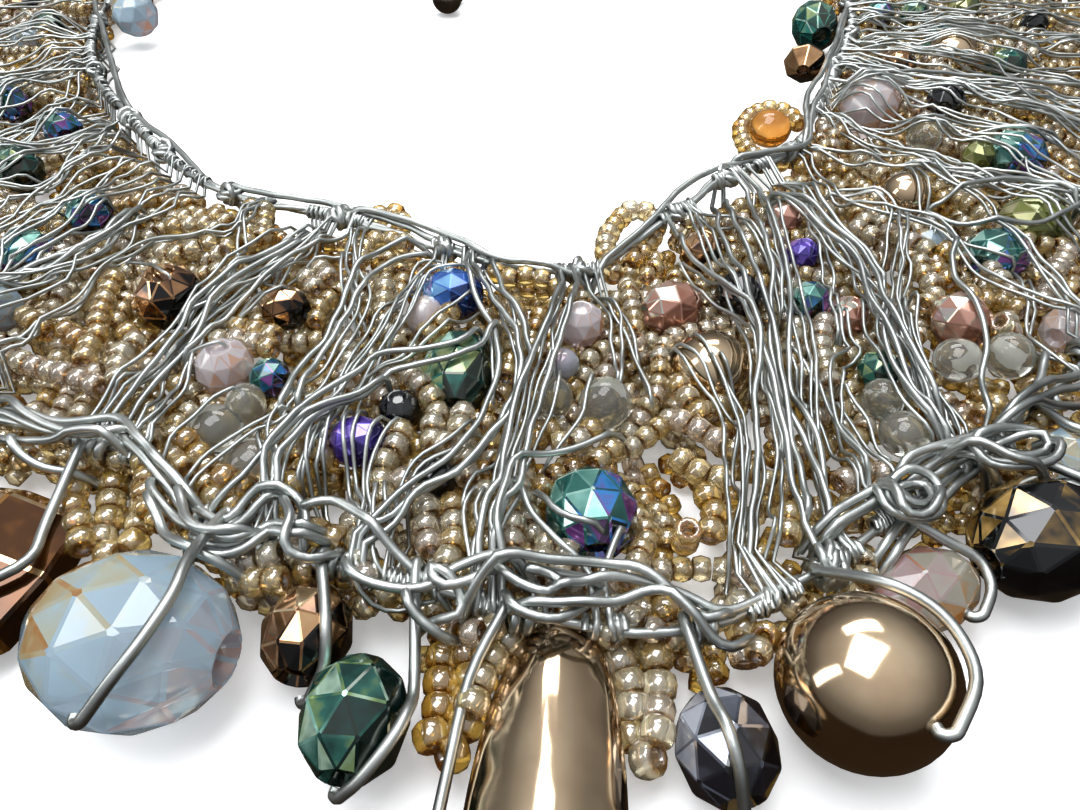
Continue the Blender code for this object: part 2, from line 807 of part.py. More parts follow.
def wire_frame(beads):
    """All the metal of the collar, joined: edge wires, knots, lacing, drop wires and end eyes."""
    lying = [b for b in beads if b.side in ("field", "neck")]
    base = wire("frame", rail(0) + rail(1)[::-1], RAIL_WIRE, closed=True)
    pieces = [knot(angle, 0) for angle in NECKLINE_KNOTS]
    pieces += [knot(angle, 1) for angle in OUTER_KNOTS]
    for k in range(LACING_PAIRS):
        angle = -LACING_REACH + 2 * LACING_REACH * (k + 0.5) / LACING_PAIRS
        for side in (-1, 1):
            start = rail_spot(angle + side * 0.8, 0)
            end = rail_spot(lacing_end(angle) + side * LACING_SPREAD, 1)
            pieces.append(wire("lacing", drape(start, end, lying), LACE_WIRE))
    pieces += [drop_wire(drop) for drop in beads if drop.side == "drop"]
    pieces += [end_eye(-1), end_eye(1)]
    return combine("wire_frame", base, pieces, "UNION")


def link_pitch():
    """From one link's middle to the next: taut, and pressed in a little so that they fuse."""
    return LINK_LENGTH - 2 * LINK_WIRE + 0.35 * LINK_WIRE


def chain_run(count):
    """The length of a chain between the middles of its two end wires."""
    return LINK_LENGTH - LINK_WIRE + (count - 1) * link_pitch()


def oval(centre, way, across, length, width, thickness, sides=10):
    """A closed oval of wire, flat at both ends."""
    half_long = (length - thickness) / 2 / math.cos(math.pi / sides)
    half_wide = (width - thickness) / 2
    points = []
    for k in range(sides):
        a = 2 * math.pi * (k + 0.5) / sides
        points.append(centre + way * half_long * math.cos(a) + across * half_wide * math.sin(a))
    return wire("link", points, thickness, closed=True)


def chain_link(centre, way, upright):
    side = Vector((0, 0, 1)).cross(way).normalized()
    across = way.cross(side) if upright else side
    return oval(centre, way, across, LINK_LENGTH, LINK_WIDTH, LINK_WIRE)


def chain_links(start, route, count, upright=True):
    """Links end to end: start is the first end wire's middle, and the route gives the way."""
    overhang = (LINK_LENGTH - LINK_WIRE - link_pitch()) / 2
    spot = start + (route[0] - start).normalized() * overhang
    links = []
    marks = list(route)
    for k in range(count):
        while len(marks) > 1 and (marks[0] - spot).length < link_pitch():
            marks.pop(0)
        way = (marks[0] - spot).normalized()
        links.append(chain_link(spot + way * link_pitch() / 2, way, (k % 2 == 0) == upright))
        spot = spot + way * link_pitch()
    return links, spot + way * overhang, way


def closing_span():
    """Between the middles of the two end eyes, with the clasp and its chains laid straight."""
    return 2 * eye_hold() + 2 * chain_run(BACK_LINKS) + CLASP_LENGTH - CLASP_WIRE - 2 * clasp_hold()


def eye_hold():
    return END_EYE_RADIUS - RAIL_WIRE / 2 - LINK_WIRE / 2 - CLEARANCE


def clasp_hold():
    return LINK_WIRE / 2 + CLASP_WIRE / 2 + CLEARANCE


def end_angle():
    """Where the band stops, so that the closing just fits between its two ends."""
    radius = neckline(180) + band(180) / 2
    return 180 - math.degrees(math.asin((closing_span() / 2 + EYE_SEAT * END_EYE_RADIUS) / radius))


def eye_centre(side):
    angle = end_angle()
    radius = neckline(angle) + band(angle) / 2
    depth = math.sqrt(radius**2 - (closing_span() / 2 + EYE_SEAT * END_EYE_RADIUS) ** 2)
    return Vector((side * closing_span() / 2, depth, LINK_WIDTH / 2))


def end_eye(side):
    points = []
    for k in range(10):
        a = 2 * math.pi * k / 10
        points.append(eye_centre(side) + END_EYE_RADIUS * Vector((math.cos(a), math.sin(a), 0)))
    return wire("eye", points, RAIL_WIRE, closed=True)


def close_back(collection):
    """The closing: a chain and clasp from the left eye, and a longer chain from the right eye."""
    left, right = eye_centre(-1), eye_centre(1)
    rightward = Vector((1, 0, 0))
    first = left + rightward * eye_hold()
    links, last, _ = chain_links(first, [right], BACK_LINKS)
    add_part("clasp_chain", combine("clasp_chain", links[0], links[1:], "UNION"), "steel", collection)

    half = (CLASP_LENGTH - CLASP_WIRE) / 2
    middle = last + rightward * (half - clasp_hold())
    ring = oval(middle, rightward, Vector((0, 1, 0)), CLASP_LENGTH, CLASP_WIDTH, CLASP_WIRE, 12)
    add_part("clasp", ring.data, "steel", collection)
    bpy.data.objects.remove(ring)

    links, hooked, _ = chain_links(right - rightward * eye_hold(), [left], BACK_LINKS)
    top_wire = hooked + rightward * (LINK_LENGTH - LINK_WIRE) / 2
    top_wire.z += (LINK_WIDTH - LINK_WIRE) / 2
    start = top_wire + Vector((0, 0.65 * LINK_WIRE, 0))
    start.z -= (LINK_WIDTH - LINK_WIRE) / 2 - 1.0 * LINK_WIRE
    lower = Vector((0, 0, LINK_WIDTH / 2))
    bend = start + Vector((0, -2 * LINK_LENGTH, 0))
    bend.z = lower.z
    route = [start + Vector((0, -LINK_LENGTH, lower.z - start.z)), bend]
    route += [Vector((x, y, 0)) * NECK_RADIUS + lower for x, y in TAIL_ROUTE]
    tail, end, way = chain_links(start, route, TAIL_LINKS)
    mesh = combine("extension_chain", links[0], links[1:] + tail, "UNION")
    add_part("extension_chain", mesh, "steel", collection)

    hold = LINK_WIRE + CLEARANCE
    ring_centre = end + way * (LINK_WIDTH / 2 - LINK_WIRE / 2 - hold)
    stands = TAIL_LINKS % 2 == 0
    side = Vector((0, 0, 1)).cross(way)
    across = Vector((0, 0, 1)) if stands else side
    ring = oval(ring_centre, way, across, LINK_WIDTH, LINK_WIDTH, LINK_WIRE)
    bm = bmesh.new()
    bmesh.ops.create_uvsphere(bm, u_segments=ROUND_SIDES, v_segments=ROUND_ROWS, radius=TAIL_BALL / 2)
    ball_centre = ring_centre + way * (LINK_WIDTH / 2 + TAIL_BALL / 2 - 0.6 * LINK_WIRE)
    ball_centre.z = max(LINK_WIDTH, TAIL_BALL) / 2
    bmesh.ops.translate(bm, vec=ball_centre, verts=bm.verts)
    mesh = combine("tail_drop", solid("ball", bm), [ring], "UNION")
    add_part("tail_drop", mesh, "steel", collection)


def add_loops(collection):
    for name, angle, reach in SEED_LOOPS:
        piece = wire(name, loop_route(angle, reach), SEED_BEAD, resolution=2)
        add_part(name, piece.data, "seed", collection)
        bpy.data.objects.remove(piece)


def centre_on_origin(collection):
    """Parents the pieces to one empty, and moves it so that the origin is under their middle."""
    bpy.context.view_layer.update()
    corners = [
        part.matrix_world @ vertex.co for part in collection.objects for vertex in part.data.vertices
    ]
    low = Vector(min(c[i] for c in corners) for i in range(3))
    high = Vector(max(c[i] for c in corners) for i in range(3))
    carrier = bpy.data.objects.new("collar_place", None)
    parts = list(collection.objects)
    collection.objects.link(carrier)
    for part in parts:
        part.parent = carrier
    carrier.location = Vector((-(low.x + high.x) / 2, -(low.y + high.y) / 2, -low.z))
    bpy.context.view_layer.update()


def main():
    clear_scene()
    collection = bpy.data.collections.new("bib_necklace")
    bpy.context.scene.collection.children.link(collection)

    beads = plan_beads()
    gaps = plan_gaps()
    settle(beads + gaps + plan_loops())
    set_heights(beads)

    set_in_mat = [b for b in beads if b.side == "field"]
    cutters = [pocket(b, POCKET_SIDES) for b in set_in_mat] + [pocket(g, GAP_SIDES) for g in gaps]
    mat = combine("seed_bead_bed", mat_solid(), cutters, "DIFFERENCE")
    add_part("seed_bead_bed", mat, "seed", collection)
    add_part("wire_frame", wire_frame(beads), "wire", collection)
    for bead in beads:
        add_bead(bead, collection)
    add_loops(collection)
    close_back(collection)
    centre_on_origin(collection)


main()
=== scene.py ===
"""Looks of the bib necklace: seed bead strings, lacing wires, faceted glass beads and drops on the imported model."""

import math

import bmesh
import bpy
import numpy as np
from mathutils import Matrix, Vector


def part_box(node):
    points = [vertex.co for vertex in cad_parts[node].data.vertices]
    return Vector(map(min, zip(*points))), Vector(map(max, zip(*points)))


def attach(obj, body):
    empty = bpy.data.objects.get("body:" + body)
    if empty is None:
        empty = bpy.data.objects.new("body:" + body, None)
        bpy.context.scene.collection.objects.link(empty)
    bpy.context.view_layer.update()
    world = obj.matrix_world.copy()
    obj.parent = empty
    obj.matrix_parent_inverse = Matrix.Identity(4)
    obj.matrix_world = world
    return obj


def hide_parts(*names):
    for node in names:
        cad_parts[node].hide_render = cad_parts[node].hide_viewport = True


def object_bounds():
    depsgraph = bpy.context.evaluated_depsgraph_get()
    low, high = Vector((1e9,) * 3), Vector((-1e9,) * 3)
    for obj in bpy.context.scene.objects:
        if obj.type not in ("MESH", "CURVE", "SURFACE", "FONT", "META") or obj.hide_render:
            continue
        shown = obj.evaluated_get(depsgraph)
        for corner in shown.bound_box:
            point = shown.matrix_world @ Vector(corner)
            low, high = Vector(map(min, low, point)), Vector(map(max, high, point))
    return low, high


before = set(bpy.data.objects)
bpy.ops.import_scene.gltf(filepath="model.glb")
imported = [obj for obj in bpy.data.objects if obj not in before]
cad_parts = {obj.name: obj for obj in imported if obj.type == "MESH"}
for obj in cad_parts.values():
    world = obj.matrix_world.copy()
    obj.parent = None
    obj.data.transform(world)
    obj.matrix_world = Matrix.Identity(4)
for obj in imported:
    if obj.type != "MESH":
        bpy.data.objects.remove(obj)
CAD_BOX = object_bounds()

MM = 0.001
SEED = 20

# The neck's middle, from which angles and distances are measured; angle 0 is the front, towards -Y.
CLASP_BEHIND_NECK = 76.7
CLASP_LOW, CLASP_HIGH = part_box("clasp")
NECK_X = (CLASP_LOW.x + CLASP_HIGH.x) / 2 / MM
NECK_Y = (CLASP_LOW.y + CLASP_HIGH.y) / 2 / MM - CLASP_BEHIND_NECK

# Collar, in millimetres
NECK_RADIUS = 67
BAND_WIDTH = 45
RAIL_HEIGHT = 6.2
MAT_THICKNESS = 5.8
RAIL_WIRE = 0.86
GAUGES = {"fine": 0.42, "thick": 0.66}
DROP_WIRE = 0.95
SEED_WIDTH = 2.35
SEED_LENGTH = 1.7
SEED_PITCH = 1.72
SEED_ROOM = 2.12
SEED_HOLE = 0.75
SEED_SIZES = (1.22, 1.12, 1.0)    # loops and hanging strings, strings on top, strings in the mat

# Heights over the table, in millimetres: the lowest bead middles by kind of string (hanging, on top, in the
# mat), the mat's top and the top strings' top, and the tops of the small beads.
LOWEST_MIDDLES = (1.6, 4.9, 1.32)
MAT_TOP = 5.7
TOP_STRINGS_TOP = 7.2
SMALL_BEADS_TOP = 8.2
LOWEST_LACING = 2.4

# Fill beads low in the mat, in degrees and millimetres.
FILL_TURN = 1.15
FILL_STEP = 1.9
FILL_HEIGHT = 1.35

# How far the baroque drop's narrow end goes in under the outer wire, in millimetres.
DROP_TUCK = 1.6

# Closing at the back, in millimetres
EYE_PLACE = 25.22
END_EYE_RADIUS = 2.4
LINK_LENGTH = 8.4
LINK_WIDTH = 5.6
LINK_WIRE = 1.1
LINK_PITCH = 6.585
EYE_HOLD = 1.08
CLASP_LENGTH = 13
CLASP_WIDTH = 7.5
CLASP_WIRE = 1.8
CLASP_HOLD = 1.75
TAIL_BALL = 6.0
TAIL_ROUTE = [(5.36, 53.6), (-1.34, 36.9), (-14.7, 13.4), (-20.1, 0.0)]

# Sections round the neck: neckline as a share of NECK_RADIUS, band as a share of BAND_WIDTH, heights as a
# share of RAIL_HEIGHT and MAT_THICKNESS.
SECTIONS = [
    # angle, neckline, band, height
    (-160, 1.18, 0.10, 0.42),
    (-145, 1.19, 0.32, 0.62),
    (-130, 1.18, 0.60, 0.90),
    (-115, 1.16, 0.85, 1.00),
    (-99, 1.12, 0.98, 1.00),
    (-80, 1.05, 1.00, 1.00),
    (-62, 1.00, 0.98, 1.00),
    (-38, 1.02, 0.93, 1.00),
    (-25, 1.00, 0.94, 1.00),
    (-18, 1.03, 1.03, 1.00),
    (-12, 1.07, 1.01, 1.00),
    (0, 1.14, 1.04, 1.00),
    (6, 1.07, 1.08, 1.00),
    (12, 1.01, 1.07, 1.00),
    (21, 0.94, 1.10, 1.00),
    (33, 0.94, 1.01, 1.00),
    (47, 0.88, 1.00, 1.00),
    (62, 0.87, 1.02, 1.00),
    (76, 0.91, 1.04, 1.00),
    (90, 0.97, 1.02, 1.00),
    (105, 1.03, 0.94, 1.00),
    (120, 1.10, 0.80, 1.00),
    (135, 1.15, 0.56, 0.88),
    (147, 1.17, 0.30, 0.62),
    (160, 1.18, 0.10, 0.42),
]

# Beads that stand for CAD nodes: cut, how the hole runs (degrees from straight out, or up) and glass.
BEADS = [
    # node, cut, sides, hole, glass
    ("dark_teal_cut", "cut", 9, 90, "dark_teal"),
    ("teal_lustre_cut", "cut", 9, 0, "teal"),
    ("green_blue_cut", "cut", 10, 0, "teal"),
    ("bronze_rondelle", "cut", 9, "up", "bronze"),
    ("opal_amber_cut", "cut", 9, 0, "opal_amber"),
    ("small_bronze_cut", "cut", 10, 90, "bronze"),
    ("opal_copper_rondelle", "cut", 10, "up", "opal_pink"),
    ("violet_cut", "cut", 10, 90, "violet"),
    ("cobalt_cut", "cut", 9, 90, "cobalt"),
    ("green_barrel_cut", "cut", 10, 0, "dark_teal"),
    ("pink_opal_cut", "cut", 9, "up", "opal_pink"),
    ("grey_clear_round", "round", 20, "up", "smoke"),
    ("teal_blue_rondelle", "cut", 10, 0, "teal"),
    ("copper_pink_cut", "cut", 9, 90, "copper_pink"),
    ("gold_barrel_round", "round", 28, 90, "rose_gold"),
    ("black_cut", "cut", 9, 0, "black"),
    ("rose_gold_round", "round", 28, 90, "rose_gold"),
    ("neck_opal_oval", "cut", 10, 0, "opal_pink"),
    ("large_rose_gold_round", "round", 28, 90, "rose_gold"),
    ("side_black_cut", "cut", 9, 90, "black"),
    ("teal_oval_cut", "cut", 10, 0, "teal"),
    ("olive_cut", "cut", 10, 0, "olive"),
    ("teal_blue_oval_cut", "cut", 9, 90, "teal"),
    ("copper_pink_oval", "cut", 10, 0, "copper_pink"),
    ("past_neckline_opal", "cut", 10, "up", "opal_amber"),
    ("past_neckline_teal", "cut", 10, 90, "dark_teal"),
    ("past_neckline_bicone", "bicone", 8, 90, "bronze"),
    ("long_copper_drop", "long", 6, 4, "copper_amber"),
    ("opal_oval_drop", "oval", 10, 90, "opal_amber"),
    ("bronze_rondelle_drop", "cut", 10, 0, "bronze"),
    ("teal_round_drop", "cut", 8, 0, "teal_gold"),
    ("baroque_drop", "baroque", 36, -8, "rose_gold"),
    ("grey_black_drop", "cut", 8, 0, "grey_black"),
    ("big_rose_gold_ball", "round", 48, 0, "rose_gold"),
    ("opal_orange_drop", "oval", 9, 90, "opal_orange"),
    ("black_oval_drop", "oval", 9, 90, "black_gold"),
    ("amber_opal_drop", "cut", 9, 0, "opal_amber"),
    ("left_teal_drop", "cut", 10, 0, "teal_gold"),
    ("left_gold_drop", "round", 28, 0, "rose_gold"),
    ("left_opal_drop", "cut", 9, 0, "opal_pink"),
    ("right_bronze_drop", "cut", 10, 0, "bronze"),
    ("right_teal_drop", "cut", 10, 0, "teal"),
    ("right_black_drop", "cut", 9, 0, "black"),
]

# Small beads among the seed beads that no CAD node stands for, by their distance from the neck's middle.
SMALL_BEADS = [
    # angle, distance, width, cut, glass
    (-75.9, 82.9, 6.0, "cut", "teal"),
    (-96.9, 82.9, 5.0, "cut", "dark_teal"),
    (-21.2, 96.0, 4.5, "cut", "teal"),
    (-22.5, 103.3, 5.4, "round", "smoke"),
    (-21.6, 100.0, 4.6, "round", "smoke"),
    (-19.5, 106.6, 5.4, "round", "smoke"),
    (-12.8, 83.6, 5.0, "round", "opal_pink"),
    (-12.7, 98.3, 4.5, "cut", "black"),
    (-10.0, 106.5, 4.5, "cut", "black"),
    (-2.9, 92.0, 3.7, "round", "pearl"),
    (-3.6, 96.5, 4.2, "round", "smoke"),
    (12.0, 75.0, 5.5, "cut", "bronze"),
    (21.8, 74.3, 5.0, "cut", "copper_pink"),
    (19.6, 81.3, 4.3, "cut", "violet"),
    (16.4, 88.6, 4.8, "cut", "teal"),
    (85.7, 69.4, 5.6, "cut", "teal"),
    (85.4, 75.9, 5.6, "cut", "dark_teal"),
    (46.8, 83.4, 5.0, "cut", "olive"),
    (47.8, 75.3, 5.0, "round", "smoke"),
    (21.1, 103.3, 5.3, "round", "smoke"),
    (24.0, 105.6, 5.3, "round", "smoke"),
    (16.1, 101.0, 4.7, "cut", "dark_teal"),
    (14.6, 104.5, 4.3, "round", "smoke"),
    (14.2, 109.0, 5.0, "round", "smoke"),
    (28.9, 106.5, 5.5, "cut", "opal_pink"),
    (17.8, 92.5, 5.0, "cut", "copper_pink"),
    (29.5, 88.0, 5.0, "cut", "opal_amber"),
    (38.5, 55.8, 6.4, "round", "amber"),
]

# A slot for each glass, handed to keep with each piece and not used there.
SLOTS = {
    "teal": "teal",
    "dark_teal": "teal",
    "teal_gold": "teal",
    "olive": "teal",
    "bronze": "bronze",
    "copper_pink": "bronze",
    "opal_amber": "opal",
    "opal_pink": "opal",
    "opal_orange": "opal",
    "pearl": "opal",
    "violet": "violet",
    "cobalt": "violet",
    "rose_gold": "rose_gold",
    "copper_amber": "rose_gold",
    "black": "black",
    "black_gold": "black",
    "grey_black": "black",
    "smoke": "smoke",
    "amber": "seed",
}

# Lacing on the sides and the arms: each row is a fan of wires from a stretch of the neckline wire to a
# stretch of the outer wire.
LACING = [
    # neckline from, to, outer from, to, wires
    (-156, -106, -156, -100, 26),
    (-104, -90, -98, -84, 13),
    (-90, -68, -80, -60, 19),
    (-66, -54, -60, -44, 13),
    (-52, -42, -44, -36, 7),
    (44, 60, 36, 56, 14),
    (60, 78, 54, 76, 20),
    (78, 104, 76, 100, 22),
    (106, 156, 100, 156, 26),
]
NECKLINE_KNOTS = [
    -143, -122, -98, -80, -64, -53, -39, -25, -12.5, 0, 12.5, 22, 33, 46.5, 62, 76, 89, 110, 135,
]
OUTER_KNOTS = [
    -138, -112, -90, -66, -46, -30, -17.5, -9, -5, 0.8, 6.5, 17, 27, 44, 64, 88, 112, 138,
]

# Lacing wires that the photograph shows: gauge, how many run side by side, and places on the band.
LACED = [
    # gauge, wires, places as angle and share
    ("fine", 1, [(-37.6, 0.43), (-35.8, 0.43), (-33.6, 0.46), (-31.2, 0.49)]),
    ("fine", 1, [(-25.1, 0.53), (-24.2, 0.47), (-22.7, 0.4)]),
    ("fine", 1, [(-25.8, 0.71), (-24.9, 0.69), (-24.1, 0.66)]),
    ("fine", 3, [(-26, 0.08), (-26.4, 0.18), (-26.3, 0.34), (-26.7, 0.49), (-27.5, 0.67)]),
    ("fine", 2, [(-25.9, 0.07), (-26.7, 0.27), (-27.2, 0.43), (-28, 0.54), (-28.8, 0.6)]),
    ("fine", 2, [(-25.1, 0.09), (-25.7, 0.25), (-27, 0.37), (-27.7, 0.51), (-28.9, 0.59)]),
    ("thick", 1, [(-23.2, 0.06), (-24.6, 0.14), (-26.1, 0.35), (-26.3, 0.55), (-26.5, 0.7)]),
    ("fine", 1, [(-20.7, 0.17), (-22.8, 0.23), (-25.6, 0.32), (-27.6, 0.36)]),
    ("fine", 3, [(-22.7, 0.02), (-20.2, 0.16), (-18.4, 0.32), (-17.4, 0.39)]),
    ("fine", 2, [(-22.1, 0.01), (-20.2, 0.2), (-17.2, 0.3), (-17.2, 0.47), (-18.2, 0.67)]),
    ("thick", 2, [(-13.7, 0.01), (-16.3, 0.07), (-18.1, 0.18), (-18.2, 0.3), (-18, 0.4), (-18.5, 0.57),
                  (-18.4, 0.69)]),
    ("fine", 3, [(-12.5, 0.06), (-14, 0.1), (-14.3, 0.26), (-15.2, 0.35), (-16.1, 0.62), (-16.3, 0.68),
                 (-16.2, 0.84)]),
    ("fine", 2, [(-13.1, 0.06), (-14.2, 0.18), (-14.5, 0.38), (-15.1, 0.52), (-15.6, 0.64), (-17.1, 0.77),
                 (-17, 0.89)]),
    ("fine", 1, [(-12.2, 0.15), (-13.3, 0.19), (-13.4, 0.25), (-13.9, 0.34), (-14.7, 0.42), (-15.5, 0.65)]),
    ("fine", 1, [(-10.1, 0.12), (-12.8, 0.18), (-13.3, 0.3), (-14.5, 0.44)]),
    ("thick", 3, [(-9.6, 0.03), (-7.7, 0.19), (-6, 0.3), (-5.6, 0.43), (-6.4, 0.56), (-7.4, 0.66), (-8.6, 0.75),
                  (-10.4, 0.83), (-11.7, 0.91), (-12.8, 0.96)]),
    ("fine", 2, [(-9.9, 0.02), (-6.8, 0.2), (-5.9, 0.34), (-5.5, 0.42), (-6.1, 0.57), (-6.7, 0.69)]),
    ("fine", 2, [(-9.1, 0.2), (-11, 0.31), (-13.2, 0.45), (-14.4, 0.51), (-15.5, 0.65), (-15.9, 0.76)]),
    ("thick", 2, [(-7.8, 0.3), (-9, 0.41), (-11.1, 0.47), (-13.5, 0.52), (-14.1, 0.58), (-16, 0.68), (-16.6, 0.74),
                  (-17.4, 0.82), (-17, 0.88), (-16.4, 0.98)]),
    ("thick", 1, [(-13.5, 0.58), (-14.8, 0.65), (-16.4, 0.71), (-17.8, 0.81), (-19, 0.93), (-20.3, 1.05)]),
    ("fine", 1, [(-8.2, 0.27), (-7.5, 0.36), (-7.3, 0.47), (-7.4, 0.51)]),
    ("fine", 3, [(-1.7, 0.07), (-2.9, 0.21), (-4.3, 0.37), (-5.4, 0.53), (-5.9, 0.65), (-6.4, 0.76), (-7.1, 0.87),
                 (-7.3, 0.95)]),
    ("thick", 2, [(-1.5, 0.08), (-2.8, 0.23), (-4.1, 0.38), (-5.1, 0.52), (-5.8, 0.64), (-6.2, 0.77), (-6.8, 0.82),
                  (-7.1, 0.93)]),
    ("fine", 1, [(-2, 0.09), (-3.2, 0.26), (-3.6, 0.4)]),
    ("fine", 2, [(0.3, 0.09), (1.4, 0.21), (0.9, 0.33), (0.2, 0.44)]),
    ("fine", 1, [(-3.3, 0.42), (-4.4, 0.55), (-5.4, 0.67)]),
    ("fine", 1, [(-1.3, 0.4), (-2.3, 0.53), (-4.5, 0.66)]),
    ("thick", 1, [(-0.4, 0.55), (-1.8, 0.6), (-3.7, 0.65), (-5.4, 0.69), (-6.1, 0.72), (-6.5, 0.78), (-6.9, 0.87),
                  (-6.6, 0.92)]),
    ("thick", 1, [(-6, 0.74), (-5.4, 0.81), (-4.3, 0.86), (-2.9, 0.92)]),
    ("thick", 1, [(-5.1, 0.74), (-4.2, 0.8), (-2.5, 0.82)]),
    ("thick", 1, [(-1.6, 0.82), (-2.3, 0.87), (-3, 0.92)]),
    ("fine", 2, [(-12.6, 0.65), (-12.9, 0.69), (-13.1, 0.81), (-12.4, 0.89)]),
    ("fine", 2, [(-14.7, 0.66), (-14.5, 0.74), (-13.7, 0.83), (-12.6, 0.89)]),
    ("fine", 2, [(-16.2, 0.68), (-15.9, 0.78), (-15.3, 0.86), (-14.6, 0.9)]),
    ("fine", 3, [(-18.9, 0.65), (-19.1, 0.73), (-18.6, 0.78), (-17.4, 0.85), (-16.6, 0.98)]),
    ("fine", 2, [(-8.3, 0.61), (-9.1, 0.68), (-10.7, 0.76), (-11.1, 0.83), (-11.2, 0.9)]),
    ("fine", 1, [(-6.8, 0.68), (-8.3, 0.76), (-8.5, 0.82)]),
    ("fine", 2, [(-7.8, 0.77), (-8.1, 0.83), (-7.7, 0.92), (-7.6, 0.96)]),
    ("fine", 2, [(-6.1, 0.76), (-6.9, 0.84), (-6.6, 0.9), (-5.1, 0.96)]),
    ("fine", 2, [(-12.4, 0.82), (-11.4, 0.98), (-10.5, 1)]),
    ("fine", 2, [(1.3, 0.11), (1.6, 0.19), (2.1, 0.31), (1.9, 0.48)]),
    ("fine", 1, [(-13, 1), (-11.8, 1.05), (-10.4, 1.04), (-8.9, 1.01)]),
    ("thick", 2, [(20.4, 0.01), (15.3, 0.16), (13.3, 0.29), (11.3, 0.45), (9.5, 0.58), (8.2, 0.7), (7.1, 0.81),
                  (6, 0.93)]),
    ("thick", 2, [(23, 0.08), (18.6, 0.23), (15.3, 0.39), (11.3, 0.54), (9.6, 0.66), (8.8, 0.79), (7.8, 0.89),
                  (7.3, 0.97)]),
    ("fine", 3, [(23.9, 0.08), (18.5, 0.27), (15.1, 0.44), (12.8, 0.58), (10.4, 0.72), (8.8, 0.82), (7.4, 0.94)]),
    ("fine", 3, [(13.7, 0.05), (11.5, 0.2), (10.5, 0.35), (9.8, 0.49), (8.7, 0.6), (7.8, 0.69), (6.4, 0.79),
                 (4.3, 0.92)]),
    ("thick", 1, [(10.5, 0.08), (9.3, 0.22), (9.6, 0.37), (9.9, 0.47), (8.7, 0.56), (7.2, 0.64), (5.9, 0.75),
                  (4.7, 0.82), (3.6, 0.91)]),
    ("fine", 2, [(8.8, 0.16), (9, 0.3), (9.5, 0.45), (9.1, 0.55), (8, 0.67), (7, 0.77)]),
    ("fine", 3, [(4.9, 0.41), (5.5, 0.54), (5.9, 0.63), (4.9, 0.73), (3.7, 0.83), (2.8, 0.93)]),
    ("fine", 2, [(6.2, 0.5), (6.4, 0.58), (6, 0.68), (4.8, 0.79), (3.4, 0.88)]),
    ("fine", 2, [(13.7, 0.09), (16.3, 0.14), (16.3, 0.25), (15.4, 0.36), (12.8, 0.49)]),
    ("fine", 2, [(26.6, 0.16), (23.4, 0.27), (20.9, 0.39), (18, 0.51), (16.9, 0.55), (15.2, 0.63)]),
    ("thick", 1, [(28.3, 0.07), (28.5, 0.15), (26.3, 0.25), (24.9, 0.36), (23.5, 0.49), (22.5, 0.56)]),
    ("fine", 3, [(27.4, 0.07), (26.1, 0.18), (23.7, 0.31), (21.7, 0.49), (19.5, 0.58), (17.9, 0.68), (17.5, 0.74),
                 (16.5, 0.84), (15.5, 0.89)]),
    ("thick", 2, [(23.1, 0.16), (23, 0.26), (22, 0.36), (21.6, 0.47), (20.4, 0.54), (18.5, 0.62), (17.1, 0.73),
                  (16.2, 0.83), (15.8, 0.91), (15.5, 0.98)]),
    ("fine", 2, [(22.2, 0.17), (22.6, 0.22), (22.3, 0.31), (20.9, 0.42), (20.8, 0.51), (20.3, 0.6), (19.1, 0.67),
                 (17.7, 0.75), (16.7, 0.83), (15.4, 0.95)]),
    ("fine", 3, [(29, 0.23), (31, 0.33), (30, 0.41), (27.1, 0.48), (22.3, 0.59), (19.4, 0.66), (18.1, 0.72),
                 (16.7, 0.83)]),
    ("fine", 2, [(30.3, 0.42), (25.9, 0.52), (24.1, 0.58), (21.9, 0.62), (20.5, 0.67), (18.4, 0.77), (17.7, 0.87),
                 (16.8, 0.92), (16.7, 0.98)]),
    ("fine", 2, [(22.2, 0.63), (20.1, 0.7), (19.1, 0.79), (17.8, 0.86), (17.3, 0.91), (16.6, 0.98)]),
    ("thick", 1, [(19.4, 0.64), (17.2, 0.68), (15.5, 0.77), (14.9, 0.86), (14.9, 0.92), (15.1, 0.97)]),
    ("fine", 2, [(18.8, 0.59), (16.8, 0.67), (15.3, 0.79), (14.9, 0.87), (15, 0.94), (15.3, 0.98)]),
    ("fine", 2, [(16.6, 0.57), (15.3, 0.64), (15.1, 0.67), (13.2, 0.68), (11.7, 0.74), (10.5, 0.82), (10.1, 0.89),
                 (9.9, 0.95)]),
    ("fine", 1, [(11.3, 0.69), (10.8, 0.77), (10.6, 0.85), (9.9, 0.94)]),
    ("fine", 1, [(11.6, 0.75), (11.5, 0.83), (11.3, 0.91), (11.6, 0.95)]),
    ("fine", 1, [(12.5, 0.74), (12.5, 0.82), (11.8, 0.9), (12, 0.95)]),
    ("fine", 2, [(11.2, 0.58), (11, 0.66), (10.8, 0.77), (10, 0.88), (9.7, 0.94)]),
    ("thick", 1, [(34.3, 0.47), (38.4, 0.58), (41.2, 0.71), (40.8, 0.83)]),
    ("thick", 1, [(32.2, 0.48), (32.2, 0.58), (33.8, 0.66), (36.2, 0.75), (40.4, 0.83)]),
    ("fine", 2, [(37.4, 0.36), (38.9, 0.51), (39.9, 0.65), (41.5, 0.83)]),
    ("fine", 2, [(39.2, 0.41), (41.3, 0.57), (44.2, 0.73), (45, 0.82)]),
    ("fine", 2, [(37.6, 0.39), (36.7, 0.52), (35.5, 0.6), (33.8, 0.65), (31.7, 0.79), (29.7, 0.9)]),
    ("fine", 2, [(37.8, 0.33), (35.7, 0.4), (32.4, 0.48), (29.2, 0.54)]),
    ("fine", 1, [(30.7, 0.42), (29.7, 0.51), (29.7, 0.59), (30.9, 0.74)]),
    ("thick", 1, [(28.6, 0.61), (26.6, 0.64), (24.5, 0.71), (22.6, 0.82), (19.2, 0.91), (17.9, 0.97)]),
